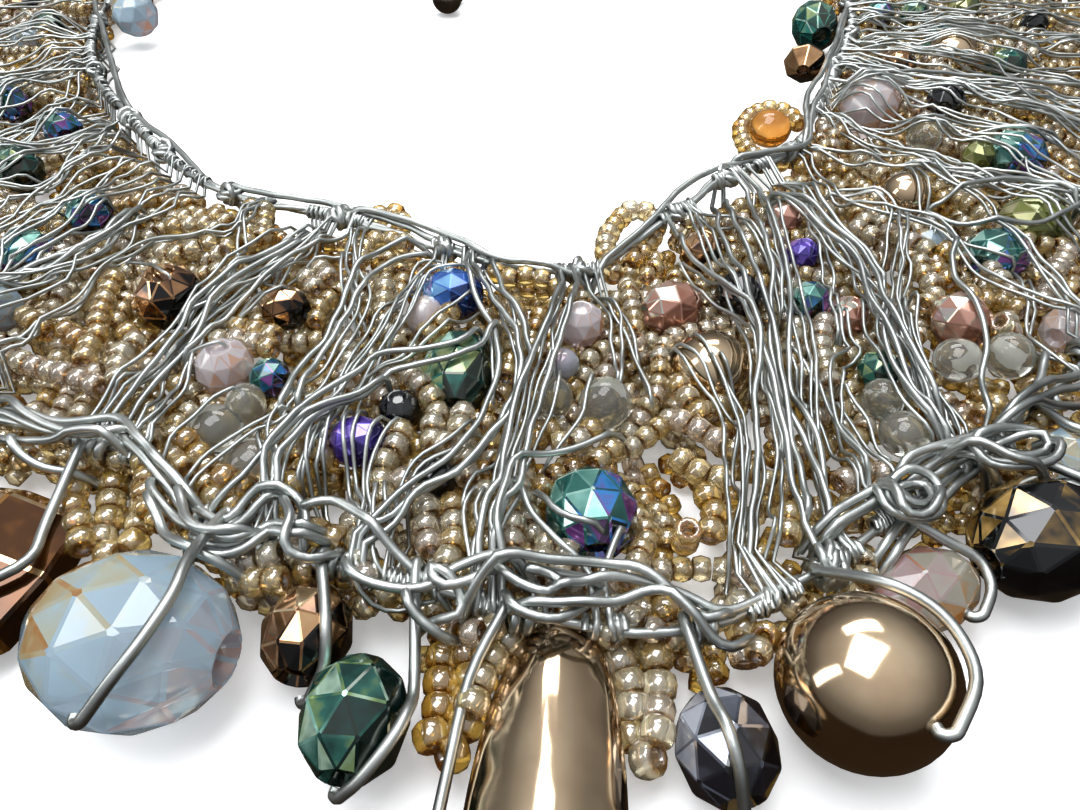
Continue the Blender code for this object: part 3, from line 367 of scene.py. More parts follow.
    ("fine", 2, [(31.6, 0.76), (30.6, 0.84), (28.8, 0.91), (27.6, 0.96)]),
    ("fine", 2, [(30.7, 0.77), (27.3, 0.86), (24.9, 0.93)]),
    ("thick", 2, [(-44.2, 0.24), (-41.8, 0.37), (-41.5, 0.52), (-42.5, 0.63), (-43.6, 0.72)]),
    ("fine", 3, [(-43.7, 0.25), (-40.4, 0.4), (-39.5, 0.51), (-41.3, 0.66), (-42.3, 0.75)]),
    ("fine", 3, [(-34, 0.07), (-33, 0.16), (-34.8, 0.26), (-38.3, 0.35), (-38.4, 0.46), (-36.7, 0.66), (-36.8, 0.8),
                 (-37.3, 0.89)]),
    ("fine", 2, [(-33.3, 0.12), (-29.4, 0.34), (-28.1, 0.53), (-28, 0.69)]),
    ("fine", 3, [(-27.9, 0.03), (-29.7, 0.33), (-28.9, 0.57), (-28.6, 0.74), (-28.6, 0.92), (-29.1, 0.98)]),
    ("fine", 3, [(-26.6, 0.06), (-28.4, 0.33), (-28.3, 0.55), (-28, 0.75), (-28.2, 0.86), (-28.4, 0.98)]),
    ("thick", 2, [(-27, 0.17), (-28.1, 0.35), (-28.1, 0.53), (-27.6, 0.63), (-27.5, 0.82), (-27.5, 0.97)]),
    ("fine", 1, [(-26.8, 0.57), (-26, 0.75), (-25, 0.89), (-25.3, 0.97)]),
    ("fine", 1, [(-28.6, 0.69), (-26, 0.85), (-25.5, 0.95)]),
    ("fine", 2, [(-26.1, 0.71), (-25.1, 0.86), (-24.4, 0.97)]),
    ("fine", 1, [(-22, 0.74), (-22.7, 0.79), (-23, 0.88), (-23.2, 0.98)]),
    ("fine", 2, [(-18.6, 0.71), (-19.6, 0.77), (-20.8, 0.9), (-21.3, 1)]),
    ("fine", 2, [(-48.9, 0.36), (-47.3, 0.47), (-47.1, 0.55), (-47.7, 0.64)]),
    ("fine", 2, [(-46.4, 0.27), (-44.5, 0.4), (-43.7, 0.54), (-44.3, 0.65)]),
    ("fine", 3, [(-95.4, -0.02), (-82.3, 0.07), (-77.8, 0.21), (-72.2, 0.39)]),
    ("fine", 3, [(-88.2, -0.04), (-73.7, 0.13), (-70.4, 0.28), (-68.2, 0.44)]),
    ("fine", 2, [(-65.1, 0.03), (-62.7, 0.19), (-60.8, 0.33), (-64, 0.48)]),
    ("fine", 3, [(-63.5, 0.04), (-55.9, 0.29), (-56.8, 0.46), (-57.4, 0.56)]),
    ("fine", 2, [(74.2, -0.08), (71.9, 0.18), (67.6, 0.46), (70.4, 0.86)]),
    ("fine", 3, [(83.3, -0.03), (77.7, 0.25), (76.9, 0.54), (75.4, 0.92)]),
    ("fine", 3, [(61.5, -0.03), (61.5, 0.21), (59.3, 0.48), (61.3, 0.85)]),
    ("fine", 2, [(48.1, 0.06), (47.2, 0.28), (49.7, 0.51), (51.4, 0.85)]),
    ("fine", 3, [(35.4, 0.04), (37.1, 0.27), (39.8, 0.5), (44.8, 0.87)]),
    ("fine", 2, [(51.4, 0.04), (56.4, 0.29), (55.7, 0.58), (56.2, 0.84)]),
    ("thick", 1, [(55.4, 0.06), (61.3, 0.31), (63.1, 0.57), (64.9, 0.88)]),
    ("fine", 2, [(33.1, 0.06), (28.2, 0.3), (29.9, 0.52), (27.5, 0.77), (28.8, 0.99)]),
    ("fine", 2, [(45.9, 0.65), (41.4, 0.77), (39.7, 0.91)]),
]

# Thick wires that loop and knot along the outer wire.
OUTER_LOOPS = [
    # wires, places as angle and share
    (1, [(-21.6, 0.99), (-20.2, 1), (-18.7, 0.99), (-17.9, 0.93), (-17, 0.9), (-15.9, 0.9), (-15, 0.94),
         (-14.8, 0.99), (-14.9, 1.02)]),
    (1, [(-20.7, 1.04), (-19.1, 1.02), (-17.7, 0.98), (-16.9, 0.91), (-16.2, 0.89)]),
    (2, [(-20.2, 1.07), (-18.5, 1.06), (-17.1, 1.03), (-16.3, 0.98), (-15.3, 0.98), (-14.3, 0.97), (-13.7, 0.94)]),
    (1, [(-16, 0.93), (-15.1, 0.92), (-14, 0.9), (-12.4, 0.93), (-10.8, 0.97), (-8.9, 1.01), (-8.3, 1.02)]),
    (1, [(-13.3, 0.97), (-12.5, 1.03), (-11.1, 1.04), (-9.4, 1.02), (-8.4, 0.97), (-6.6, 0.93), (-5.2, 0.95)]),
    (1, [(-10.1, 1.07), (-9, 1.06), (-8.1, 1.04), (-8.4, 1), (-9.4, 0.99), (-8.9, 1.02), (-7.8, 0.99), (-6.3, 0.94),
         (-4.8, 0.97)]),
    (1, [(-7.1, 0.95), (-6.2, 0.98), (-5, 0.99), (-4.5, 0.96), (-5.4, 0.95), (-5.7, 0.96), (-4.5, 0.94),
         (-3.2, 0.93), (-2, 0.93)]),
    (1, [(-6.5, 0.99), (-6.1, 1.03), (-4.6, 1.03), (-3.3, 0.98), (-2.7, 0.93)]),
    (1, [(-10.4, 1.02), (-10, 1.07), (-8.7, 1.09), (-8.1, 1.05)]),
    (2, [(-34.5, 1), (-33.2, 0.99), (-30.4, 1), (-28.2, 0.98), (-26.8, 0.95), (-24.6, 0.99), (-21.8, 1),
         (-19.8, 1.01)]),
    (1, [(-34.9, 0.98), (-33.2, 0.97), (-30.9, 1.01), (-28.4, 1.02), (-26.4, 0.99), (-25.5, 0.94)]),
    (1, [(-32.6, 1.05), (-31, 1.07), (-28.8, 1.05), (-27, 1.01), (-24.9, 1)]),
    (1, [(-31.4, 1.05), (-29.5, 1.1), (-27.6, 1.09), (-26.2, 1.05)]),
    (1, [(-23.2, 1.02), (-22.1, 1.05), (-20.1, 1.05), (-18.7, 1.04), (-17.2, 1.03), (-16.4, 0.97)]),
    (1, [(-22.6, 1.05), (-20.1, 1.09), (-18, 1.08), (-16.7, 1.07), (-16.3, 1.06)]),
    (1, [(-21.5, 0.99), (-19.4, 1.05), (-17.8, 1.03), (-16.1, 0.99)]),
    (1, [(-16.6, 0.9), (-15.4, 0.96), (-15.2, 1.02), (-14, 1.02), (-13, 0.96)]),
    (1, [(-5.2, 0.99), (-2.1, 0.93), (0.1, 0.95), (1.5, 0.99), (3.2, 0.99), (6, 0.99)]),
    (1, [(-8.2, 1.04), (-6.7, 0.96), (-4.4, 0.93), (-1.3, 0.92), (0.6, 1), (2.3, 0.99)]),
    (1, [(-6.3, 1.02), (-4.5, 1), (-2.6, 0.99), (-0.7, 0.96), (1.1, 1.05), (2.8, 1.03)]),
    (2, [(8.3, 1.05), (11.2, 1.03), (14.1, 1.02), (17.5, 1)]),
    (1, [(6.2, 0.96), (8.8, 0.96), (12.8, 0.99), (16.4, 1), (18.1, 1.01)]),
    (2, [(6.1, 0.95), (8, 0.95), (11, 0.97), (13.8, 0.97), (17.3, 1.01)]),
    (1, [(11, 0.96), (12.1, 0.95), (15.3, 0.98), (17.1, 1), (21.9, 0.97), (25.4, 0.93)]),
    (2, [(10.1, 0.94), (9.7, 0.99), (10.4, 1.04), (11.4, 1.05), (11.9, 1.01), (11.1, 0.98), (10.1, 0.98),
         (10.4, 1.02), (11.6, 1.03)]),
    (1, [(10, 0.96), (9.7, 1.03), (10.6, 1.06), (11.7, 1.04), (12, 1)]),
    (2, [(14.8, 0.98), (15.2, 1.03), (16.5, 1.08), (17.9, 1.09), (17.9, 1.04), (16.5, 1.01), (15.2, 1.01),
         (15.9, 1.07)]),
    (1, [(14.8, 0.97), (14.6, 1.04), (15.7, 1.09), (17, 1.11), (18.1, 1.09), (17.7, 1.05)]),
    (1, [(13.8, 0.97), (14.1, 0.99), (14.8, 1.03), (15.3, 1.08), (16.6, 1.12)]),
    (2, [(18, 0.99), (21.5, 0.99), (24.5, 1.02), (27.7, 1.06)]),
    (1, [(16.9, 0.99), (19.9, 1.01), (22.4, 1.05), (25.5, 1.09)]),
]

# Thick wires along the neckline, from knot to knot.
NECKLINE_RUNS = [
    # wires, places as angle and share
    (1, [(-111.6, 0.2), (-100.6, 0.02), (-94.8, -0.04), (-66, 0), (-61.9, -0.01)]),
    (1, [(-94.8, -0.04), (-69.6, -0.03), (-60.7, -0.02), (-54.7, -0.04), (-43.7, -0.01), (-40.4, -0),
         (-38.7, -0.02)]),
    (1, [(-40.9, -0.01), (-34.6, -0.04), (-26.3, -0.04), (-18.1, -0.04), (-13.2, -0.02), (-5.3, -0.01), (0.2, 0.01)]),
    (1, [(-24.8, -0.02), (-19.3, -0.04), (-12, -0.03), (-7.2, 0.01), (-1.9, 0.02), (0.6, 0.05)]),
    (1, [(0.2, 0.01), (4.3, 0), (10.3, -0.03), (14.3, 0), (22.9, -0.04)]),
    (1, [(0.7, 0.04), (8.6, -0.02), (18.3, -0.05), (28, -0.02), (34.3, 0.03)]),
    (1, [(23.2, -0.05), (29.4, -0.01), (34.3, 0.03), (42.4, 0), (63.5, -0.02), (77.3, -0.03), (98.6, 0.06)]),
    (1, [(34.3, 0.03), (47.8, -0.04), (60, -0.03), (86, -0.02)]),
]

# Short seed bead strings that stand out on top.
TOP_STRINGS = [
    # places as angle and share
    [(-18.7, 0.64), (-18, 0.7), (-17, 0.8)],
    [(-12.2, 0.67), (-12.6, 0.75), (-12.4, 0.81), (-12.1, 0.85), (-11.7, 0.91)],
    [(-11.2, 0.46), (-10.7, 0.56), (-10.3, 0.65), (-9.9, 0.7)],
    [(-8.9, 0.57), (-8.9, 0.64), (-9.1, 0.7), (-9.3, 0.75)],
    [(-10.4, 0.75), (-10.3, 0.82), (-10, 0.88), (-9.5, 0.93)],
    [(-9, 0.81), (-8.8, 0.87), (-8.9, 0.94)],
    [(-7.5, 0.76), (-7.6, 0.83), (-7.2, 0.9)],
    [(-6.3, 0.78), (-6.1, 0.85), (-5.8, 0.91)],
    [(-5.8, 0.89), (-4.7, 0.86), (-3.7, 0.88)],
    [(-17.8, 0.43), (-16.6, 0.5), (-16.3, 0.58)],
    [(-16.5, 0.23), (-15.8, 0.33), (-13.9, 0.41)],
    [(-20, 0.14), (-19.7, 0.06), (-18.3, 0.02), (-15.7, 0.02)],
    [(-7.4, 0.05), (-5.6, 0.07), (-2.8, 0.05)],
    [(-6.1, 0.17), (-5.5, 0.25), (-6.2, 0.36), (-6.4, 0.45)],
    [(-12.5, 0.26), (-12, 0.34)],
    [(-38.8, 0.21), (-37.6, 0.15), (-34.2, 0.17)],
    [(-35.7, 0.31), (-34.1, 0.29), (-31.6, 0.28)],
    [(-25.9, 0.61), (-24.8, 0.58), (-23, 0.56), (-21.8, 0.57)],
    [(-23, 0.9), (-20.5, 0.94), (-18.8, 0.92)],
    [(-33.7, 0.04), (-31.6, 0.14), (-30.1, 0.22)],
    [(-16.9, 1.03), (-16, 1.02), (-14.9, 1)],
    [(-16.3, 1.08), (-15.3, 1.07)],
    [(-14.7, 0.94), (-13.6, 0.94)],
    [(-13.4, 0.91), (-12.6, 0.96), (-12, 1.03)],
    [(-1.9, 0.54), (-3, 0.59), (-3.7, 0.59)],
    [(-23, 0.27), (-21.6, 0.29)],
    [(-15.3, 0.73), (-16.3, 0.79), (-16.5, 0.85)],
    [(-5.1, 0.89), (-4.4, 0.91)],
    [(-1.9, 0.64), (-0.9, 0.59)],
    [(3.1, 0.57), (4.1, 0.63), (4.9, 0.69)],
    [(3.9, 0.49), (4.2, 0.56), (4.4, 0.61)],
    [(2.3, 0.66), (3, 0.71), (4, 0.75)],
    [(16.7, 0.23), (15.1, 0.26), (14.5, 0.33)],
    [(15.3, 0.56), (13.8, 0.61), (12.9, 0.66), (11.8, 0.71)],
    [(28.7, 0.56), (26.6, 0.62), (26.7, 0.68)],
    [(25.7, 0.74), (27.1, 0.76), (27.5, 0.8), (26.8, 0.85)],
    [(24.6, 0.82), (25.6, 0.85), (27, 0.87)],
    [(31.1, 0.33), (28.9, 0.34), (26.9, 0.4)],
    [(36.8, 0.56), (37.1, 0.61)],
    [(6, 0.88), (5.5, 0.91), (5.6, 0.94)],
    [(2.8, 0.76), (2.8, 0.8), (2.1, 0.84)],
    [(1.3, 0.82), (1.4, 0.86)],
    [(18.5, 1.1), (18.3, 1.14)],
    [(9.4, 0.89), (10.5, 0.9), (11.3, 0.93)],
    [(13.3, 0.53), (11.7, 0.58), (11, 0.65)],
    [(23.9, 0.69), (23.8, 0.73)],
    [(27.9, 0.51), (26.3, 0.59), (24.6, 0.66)],
    [(26.5, 0.38), (26.3, 0.43)],
    [(12.6, 0.33), (13.1, 0.41)],
    [(19.9, 0.98), (19.5, 0.94), (18.5, 0.95)],
    [(-37.3, 0.49), (-35.6, 0.59), (-34.4, 0.66), (-33.4, 0.73), (-32.4, 0.79)],
    [(-39, 0.83), (-36, 0.84), (-34.3, 0.84), (-32.3, 0.84), (-30.2, 0.85)],
    [(-32, 0.66), (-31, 0.68), (-30.9, 0.74), (-29.6, 0.81)],
    [(-35.6, 0.71), (-33.9, 0.71)],
    [(-24.9, 0.94), (-25.7, 0.88)],
    [(-39.1, 0.19), (-37.4, 0.15), (-34.7, 0.16)],
    [(-36.7, 0.34), (-34.7, 0.3), (-31.5, 0.27)],
    [(-24.2, 1), (-23.1, 1.05), (-22, 1.11)],
    [(-22, 0.93), (-22.9, 0.91)],
    [(-25.2, 0.57), (-24, 0.56), (-22.4, 0.55)],
    [(-34.1, 0.03), (-31, 0.17)],
    [(-23.1, 0.28), (-21.8, 0.31)],
    [(-19.8, 0.89), (-19, 0.92)],
    [(-49.4, 0.45), (-45.8, 0.41)],
    [(-39.5, 0.72), (-36.3, 0.73)],
    [(-44.6, 0.56), (-45, 0.47)],
    [(-94.4, 0.21), (-84.6, 0.11)],
    [(-102.5, 0.21), (-101, 0.05)],
    [(68, 0.3), (62.6, 0.38)],
    [(68.9, 0.4), (72.1, 0.67)],
    [(34.6, 0.36), (37, 0.53), (35.1, 0.66)],
    [(28.8, 0.36), (27.4, 0.58)],
    [(57.3, 0.58), (57.1, 0.73)],
    [(37, 0.21), (35.6, 0.32)],
    [(29.5, 0.85), (36.3, 0.84)],
    [(29.8, 0.71), (28.4, 0.81)],
]

# Seed bead loops past the wires, one for each CAD node.
SEED_LOOPS = [
    # node, places as angle and share
    ("seed_loop_left", [(-8.3, 1), (-8.8, 1.04), (-8.9, 1.08), (-8.9, 1.12), (-8.8, 1.18), (-8.6, 1.22),
                        (-8.3, 1.25), (-7.9, 1.24), (-7.8, 1.19), (-7.8, 1.15), (-7.8, 1.1), (-8.2, 1.05)]),
    ("seed_loop_front", [(-2.5, 0.9), (-2.4, 0.95), (-2.4, 1.01), (-2.3, 1.06), (-2.4, 1.11), (-2.7, 1.15),
                         (-2.6, 1.19), (-2.3, 1.2), (-1.7, 1.16), (-1.4, 1.11), (-1, 1.05), (-1, 0.99),
                         (-1.1, 0.93)]),
    ("seed_loop_far_left", [(-27.3, 0.96), (-26.2, 1.04), (-25.3, 1.11), (-24.5, 1.16), (-24, 1.19), (-23.5, 1.15),
                            (-23.5, 1.1), (-24.2, 1.04), (-25.5, 0.97)]),
    ("seed_loop_left_neck", [(-21.3, 0.12), (-21.7, 0.04), (-21.9, -0.05), (-21.4, -0.14), (-19.3, -0.11),
                             (-18.6, -0.03), (-18.8, 0.06)]),
    ("seed_loop_front_neck", [(3.4, 0.01), (3.8, -0.1), (6.6, -0.15), (9.9, -0.14), (10.5, -0.05), (8.1, 0),
                              (5.2, 0.03)]),
    ("seed_loop_right_neck", [(38.4, 0.02), (34.7, 0), (32.1, -0.04), (31.4, -0.11), (34.6, -0.2), (40.6, -0.22),
                              (45.4, -0.17), (46.5, -0.1), (44.1, -0.04)]),
]

# Strings that hang between the drops.
HANGING_STRINGS = [
    # places as angle and share
    [(-7.1, 0.94), (-6.9, 0.97), (-7, 1), (-6.7, 1.02)],
    [(-6.5, 1.05), (-6.9, 1.12), (-7, 1.16), (-7, 1.19), (-6.6, 1.22)],
    [(-25.3, 1.21), (-26.7, 1.16), (-27.4, 1.09)],
    [(-16.8, 1), (-16.1, 1.06)],
    [(-16.2, 0.95), (-15.2, 1.01), (-15.4, 1.07)],
    [(2.7, 0.97), (2.2, 1.04), (2.6, 1.08)],
    [(-0.5, 0.9), (-0.3, 0.95)],
    [(-9.8, 0.98), (-9.1, 1.04)],
    [(-7.8, 0.98), (-7.4, 1.06)],
    [(18.8, 1.09), (18.7, 1.13)],
    [(-17.8, 0.98), (-17.9, 1.02)],
]

# White gaps between the strings.
MAT_GAPS = [
    # angle, share, width
    (-104, 0.6, 5.3),
    (-76, 0.55, 4.8),
    (-29.2, 0.24, 4.0),
    (-19.3, 0.34, 3.5),
    (-5.0, 0.10, 3.5),
    (7.7, 0.62, 4.0),
    (10.0, 0.66, 4.4),
    (-15.2, 0.84, 4.0),
    (27.1, 0.88, 4.0),
    (76, 0.7, 4.8),
    (100, 0.5, 5.3),
    (120, 0.5, 4.8),
]

# How the thick wire lies on each drop: places as shares of the drop's half length out and half width to the
# side, from the outer wire to the hooked end.
DROP_WIRES = {
    "long_copper_drop": [(-1.15, 0.2), (-0.7, 0.5), (-0.2, 0.7), (0.3, 0.5)],
    "opal_oval_drop": [(-1.2, 0.22), (-0.7, 0.45), (-0.2, 0.58), (0.3, 0.55), (0.7, 0.42), (0.98, 0.26)],
    "bronze_rondelle_drop": [(-1.1, 0.06), (-0.5, 0.4), (0.3, 0.68), (0.85, 0.7), (1.25, 0.5)],
    "teal_round_drop": [(-1.1, 0.7), (-0.6, 0.97), (0.1, 1.0), (0.6, 0.8), (1.05, 0.4), (1.2, 0.1)],
    "baroque_drop": [(-1.1, -0.5), (-0.6, -0.95), (0.0, -1.25), (0.5, -1.45), (1.0, -1.7)],
    "grey_black_drop": [(-1.3, -0.3), (-0.7, -0.25), (0.0, -0.2), (0.6, -0.15), (1.1, -0.1)],
    "big_rose_gold_ball": [(-1.1, 0.1), (-0.8, 0.44), (-0.38, 0.76), (0.06, 0.88), (0.5, 0.78), (0.88, 0.36)],
    "opal_orange_drop": [(-1.15, 0.0), (-0.7, 0.6), (-0.1, 1.05), (0.5, 1.0), (0.95, 0.6)],
    "black_oval_drop": [(-1.15, 0.3), (-0.7, 0.8), (0.0, 1.05), (0.6, 0.85), (1.05, 0.5)],
    "amber_opal_drop": [(-1.2, 0.0), (-0.6, 0.35), (0.1, 0.5), (0.8, 0.4), (1.15, 0.1)],
}
PLAIN_DROP_WIRE = [(-1.2, 0.0), (-0.6, 0.3), (0.0, 0.4), (0.6, 0.3), (1.1, 0.0)]


def section(angle, column):
    """A column of SECTIONS at an angle, on a smooth curve through its rows."""
    rows = SECTIONS
    angle = max(rows[0][0], min(rows[-1][0], angle))
    k = max(i for i in range(len(rows) - 1) if rows[i][0] <= angle)
    before, a, b, after = rows[max(k - 1, 0)], rows[k], rows[k + 1], rows[min(k + 2, len(rows) - 1)]
    span = b[0] - a[0]
    t = (angle - a[0]) / span
    slope_a = (b[column] - before[column]) / (b[0] - before[0]) * span
    slope_b = (after[column] - a[column]) / (after[0] - a[0]) * span
    return (
        (2 * t**3 - 3 * t**2 + 1) * a[column]
        + (t**3 - 2 * t**2 + t) * slope_a
        + (3 * t**2 - 2 * t**3) * b[column]
        + (t**3 - t**2) * slope_b
    )


TURN = np.arange(-180, 180.5, 0.5)
NECKLINES = NECK_RADIUS * np.array([section(a, 1) for a in TURN])
BANDS = BAND_WIDTH * np.array([section(a, 2) for a in TURN])
HEIGHTS = np.array([section(a, 3) for a in TURN])


def neckline(angle):
    return np.interp(angle, TURN, NECKLINES)


def band(angle):
    return np.interp(angle, TURN, BANDS)


def height_share(angle):
    return np.interp(angle, TURN, HEIGHTS)


def polar(angle, distance, height=0.0):
    """Points in millimetres at angles and distances from the neck's middle."""
    a = np.radians(angle)
    spots = np.broadcast_arrays(NECK_X + distance * np.sin(a), NECK_Y - distance * np.cos(a), height)
    return np.stack(spots, -1).astype(float)


def on_band(angle, share, height=0.0, beyond=0.0):
    return polar(angle, neckline(angle) + share * band(angle) + beyond, height)


def angle_and_distance(points):
    x, y = points[..., 0] - NECK_X, points[..., 1] - NECK_Y
    return np.degrees(np.arctan2(x, -y)), np.hypot(x, y)


def unit(vectors):
    return vectors / np.maximum(np.linalg.norm(vectors, axis=-1, keepdims=True), 1e-9)


def linear(colour):
    """An sRGB hex colour as linear values."""
    channels = [int(colour[i : i + 2], 16) / 255 for i in (1, 3, 5)]
    return tuple(c / 12.92 if c <= 0.04045 else ((c + 0.055) / 1.055) ** 2.4 for c in channels) + (1.0,)


def add(tree, kind, inputs=(), **settings):
    """A node with its settings, its values and the sockets that feed it."""
    made = tree.nodes.new(kind)
    for name, value in settings.items():
        setattr(made, name, value)
    for name, value in dict(inputs).items():
        socket = made.inputs[name]
        if isinstance(value, bpy.types.NodeSocket):
            tree.links.new(value, socket)
        else:
            socket.default_value = value
    return made


def new_material(name):
    """An empty material with its tree, its Principled shader and its Object coordinates."""
    material = bpy.data.materials.new(name)
    material.use_nodes = True
    tree = material.node_tree
    shader = tree.nodes["Principled BSDF"]
    place = add(tree, "ShaderNodeTexCoord").outputs["Object"]
    return material, tree, shader, place


def ramp(tree, value, stops, interpolation="LINEAR"):
    made = add(tree, "ShaderNodeValToRGB", {"Fac": value})
    made.color_ramp.interpolation = interpolation
    elements = made.color_ramp.elements
    while len(elements) < len(stops):
        elements.new(0.5)
    for element, (place, colour) in zip(elements, stops):
        element.position = place
        element.color = linear(colour)
    return made.outputs["Color"]


def bump(tree, shader, height, strength, depth):
    made = add(tree, "ShaderNodeBump", {"Height": height, "Strength": strength, "Distance": depth})
    tree.links.new(made.outputs["Normal"], shader.inputs["Normal"])


# Craft wire: copper drawn through a die and silver plated, then handled. Grey and satin, with a brighter
# line along its top and dull patches where it was bent.
def craft_wire():
    material, tree, shader, place = new_material("silver_plated_craft_wire")
    patches = add(tree, "ShaderNodeTexNoise", {"Vector": place, "Scale": 160.0, "Detail": 3.0}).outputs["Fac"]
    tint = ramp(tree, patches, [(0.30, "#979b99"), (0.55, "#b4b8b5"), (0.75, "#cacdca")])
    tree.links.new(tint, shader.inputs["Base Color"])
    rough = add(tree, "ShaderNodeMapRange", {"Value": patches, "To Min": 0.3, "To Max": 0.48})
    tree.links.new(rough.outputs["Result"], shader.inputs["Roughness"])
    shader.inputs["Metallic"].default_value = 1.0
    scratches = add(tree, "ShaderNodeTexNoise", {"Vector": place, "Scale": 2600.0}).outputs["Fac"]
    bump(tree, shader, scratches, 0.25, 0.00004)
    return material


# Seed beads: clear amber glass with a lustre fired on, so each one has a silvery top and a golden body, with
# painted shade that darkens and browns the colour towards the hole.
def lustre_seed_glass():
    material, tree, shader, place = new_material("lustred_amber_seed_glass")
    tone = add(tree, "ShaderNodeAttribute", attribute_name="tone").outputs["Fac"]
    body = ramp(
        tree,
        tone,
        [(0.0, "#e2ac40"), (0.3, "#f2c85e"), (0.6, "#fae09a"), (0.85, "#fef4d2"), (1.0, "#fae6cb")],
    )
    depth = add(tree, "ShaderNodeAttribute", attribute_name="depth").outputs["Fac"]
    # Painted shade: dark brown at the hole, amber further out, and no change past 0.43 of the width.
    shade = ramp(tree, depth, [(0.2, "#5e3606"), (0.33, "#c8902c"), (0.43, "#ffffff")])
    mixed = add(
        tree, "ShaderNodeMix", {"Factor": 0.9, 6: body, 7: shade}, data_type="RGBA", blend_type="MULTIPLY"
    )
    tree.links.new(mixed.outputs[2], shader.inputs["Base Color"])
    wear = add(tree, "ShaderNodeTexNoise", {"Vector": place, "Scale": 900.0}).outputs["Fac"]
    rough = add(tree, "ShaderNodeMapRange", {"Value": wear, "To Min": 0.04, "To Max": 0.16})
    tree.links.new(rough.outputs["Result"], shader.inputs["Roughness"])
    shader.inputs["Transmission Weight"].default_value = 0.84
    shader.inputs["IOR"].default_value = 1.52
    shader.inputs["Coat Weight"].default_value = 1.0
    shader.inputs["Coat Roughness"].default_value = 0.1
    shader.inputs["Coat IOR"].default_value = 2.15
    return material


# Fire polished glass: ground facets with a rounded polish. Its look comes from one tone for each facet, read
# from the mesh: partly at random, because a fired coat is thicker on some facets than on others, and partly
# painted light, lighter on facets turned to the lit side and darker on those turned away.
def faceted_glass(name, tones, metallic, transmission, film=0.0, roughness=0.06):
    material, tree, shader, place = new_material(name)
    facet = add(tree, "ShaderNodeAttribute", attribute_name="facet").outputs["Fac"]
    streaks = add(tree, "ShaderNodeTexNoise", {"Vector": place, "Scale": 420.0, "Detail": 2.0}).outputs["Fac"]
    drift = add(tree, "ShaderNodeMath", {0: streaks, 1: 0.5}, operation="SUBTRACT").outputs["Value"]
    value = add(tree, "ShaderNodeMath", {0: drift, 1: 0.3, 2: facet}, operation="MULTIPLY_ADD").outputs["Value"]
    tree.links.new(ramp(tree, value, tones), shader.inputs["Base Color"])
    haze = add(tree, "ShaderNodeMapRange", {"Value": streaks, "To Min": roughness * 0.6, "To Max": roughness * 1.8})
    tree.links.new(haze.outputs["Result"], shader.inputs["Roughness"])
    shader.inputs["Metallic"].default_value = metallic
    shader.inputs["Transmission Weight"].default_value = transmission
    shader.inputs["IOR"].default_value = 1.54
    shader.inputs["Coat Weight"].default_value = 0.6
    shader.inputs["Coat Roughness"].default_value = 0.03
    shader.inputs["Thin Film Thickness"].default_value = film
    shader.inputs["Thin Film IOR"].default_value = 1.6
    return material


# Opal glass: milky, blue-white where light bounces back and amber where it comes through at the edges. The amber is
# painted light, at the ends of the tone ramps, on facets turned most towards or most away from the lit side.
def opal_glass(name, tones, film):
    material = faceted_glass(name, tones, 0.0, 0.5, film, 0.08)
    shader = material.node_tree.nodes["Principled BSDF"]
    shader.inputs["Subsurface Weight"].default_value = 0.4
    shader.inputs["Subsurface Radius"].default_value = (1.0, 0.8, 0.7)
    shader.inputs["Subsurface Scale"].default_value = 0.002
    return material


# Rose gold: a vacuum metal coat on polished acrylic or glass, a mirror with faint swirls from wear.
def rose_gold_mirror():
    material, tree, shader, place = new_material("rose_gold_mirror_coat")
    warm = add(tree, "ShaderNodeTexNoise", {"Vector": place, "Scale": 130.0, "Detail": 4.0}).outputs["Fac"]
    tree.links.new(
        ramp(tree, warm, [(0.3, "#bfa283"), (0.6, "#dcc3a2"), (0.8, "#f0e0c6")]), shader.inputs["Base Color"]
    )
    rough = add(tree, "ShaderNodeMapRange", {"Value": warm, "To Min": 0.06, "To Max": 0.16})
    tree.links.new(rough.outputs["Result"], shader.inputs["Roughness"])
    shader.inputs["Metallic"].default_value = 1.0
    ripples = add(tree, "ShaderNodeTexNoise", {"Vector": place, "Scale": 210.0, "Detail": 1.0}).outputs["Fac"]
    bump(tree, shader, ripples, 0.35, 0.0005)
    return material


# Clear glass: pressed rounds, grey green or honey coloured, with a soft surface.
def clear_glass(name, tints):
    material, tree, shader, place = new_material(name)
    seeds = add(tree, "ShaderNodeTexNoise", {"Vector": place, "Scale": 300.0}).outputs["Fac"]
    tree.links.new(ramp(tree, seeds, tints), shader.inputs["Base Color"])
    shader.inputs["Roughness"].default_value = 0.05
    shader.inputs["Transmission Weight"].default_value = 0.9
    shader.inputs["IOR"].default_value = 1.5
    return material


# Chain and clasp: stamped steel, tumbled bright.
def tumbled_steel():
    material, tree, shader, place = new_material("tumbled_steel")
    grain = add(tree, "ShaderNodeTexNoise", {"Vector": place, "Scale": 500.0, "Detail": 3.0}).outputs["Fac"]
    tree.links.new(ramp(tree, grain, [(0.3, "#8f9091"), (0.7, "#c4c5c6")]), shader.inputs["Base Color"])
    rough = add(tree, "ShaderNodeMapRange", {"Value": grain, "To Min": 0.16, "To Max": 0.32})
    tree.links.new(rough.outputs["Result"], shader.inputs["Roughness"])
    shader.inputs["Metallic"].default_value = 1.0
    return material


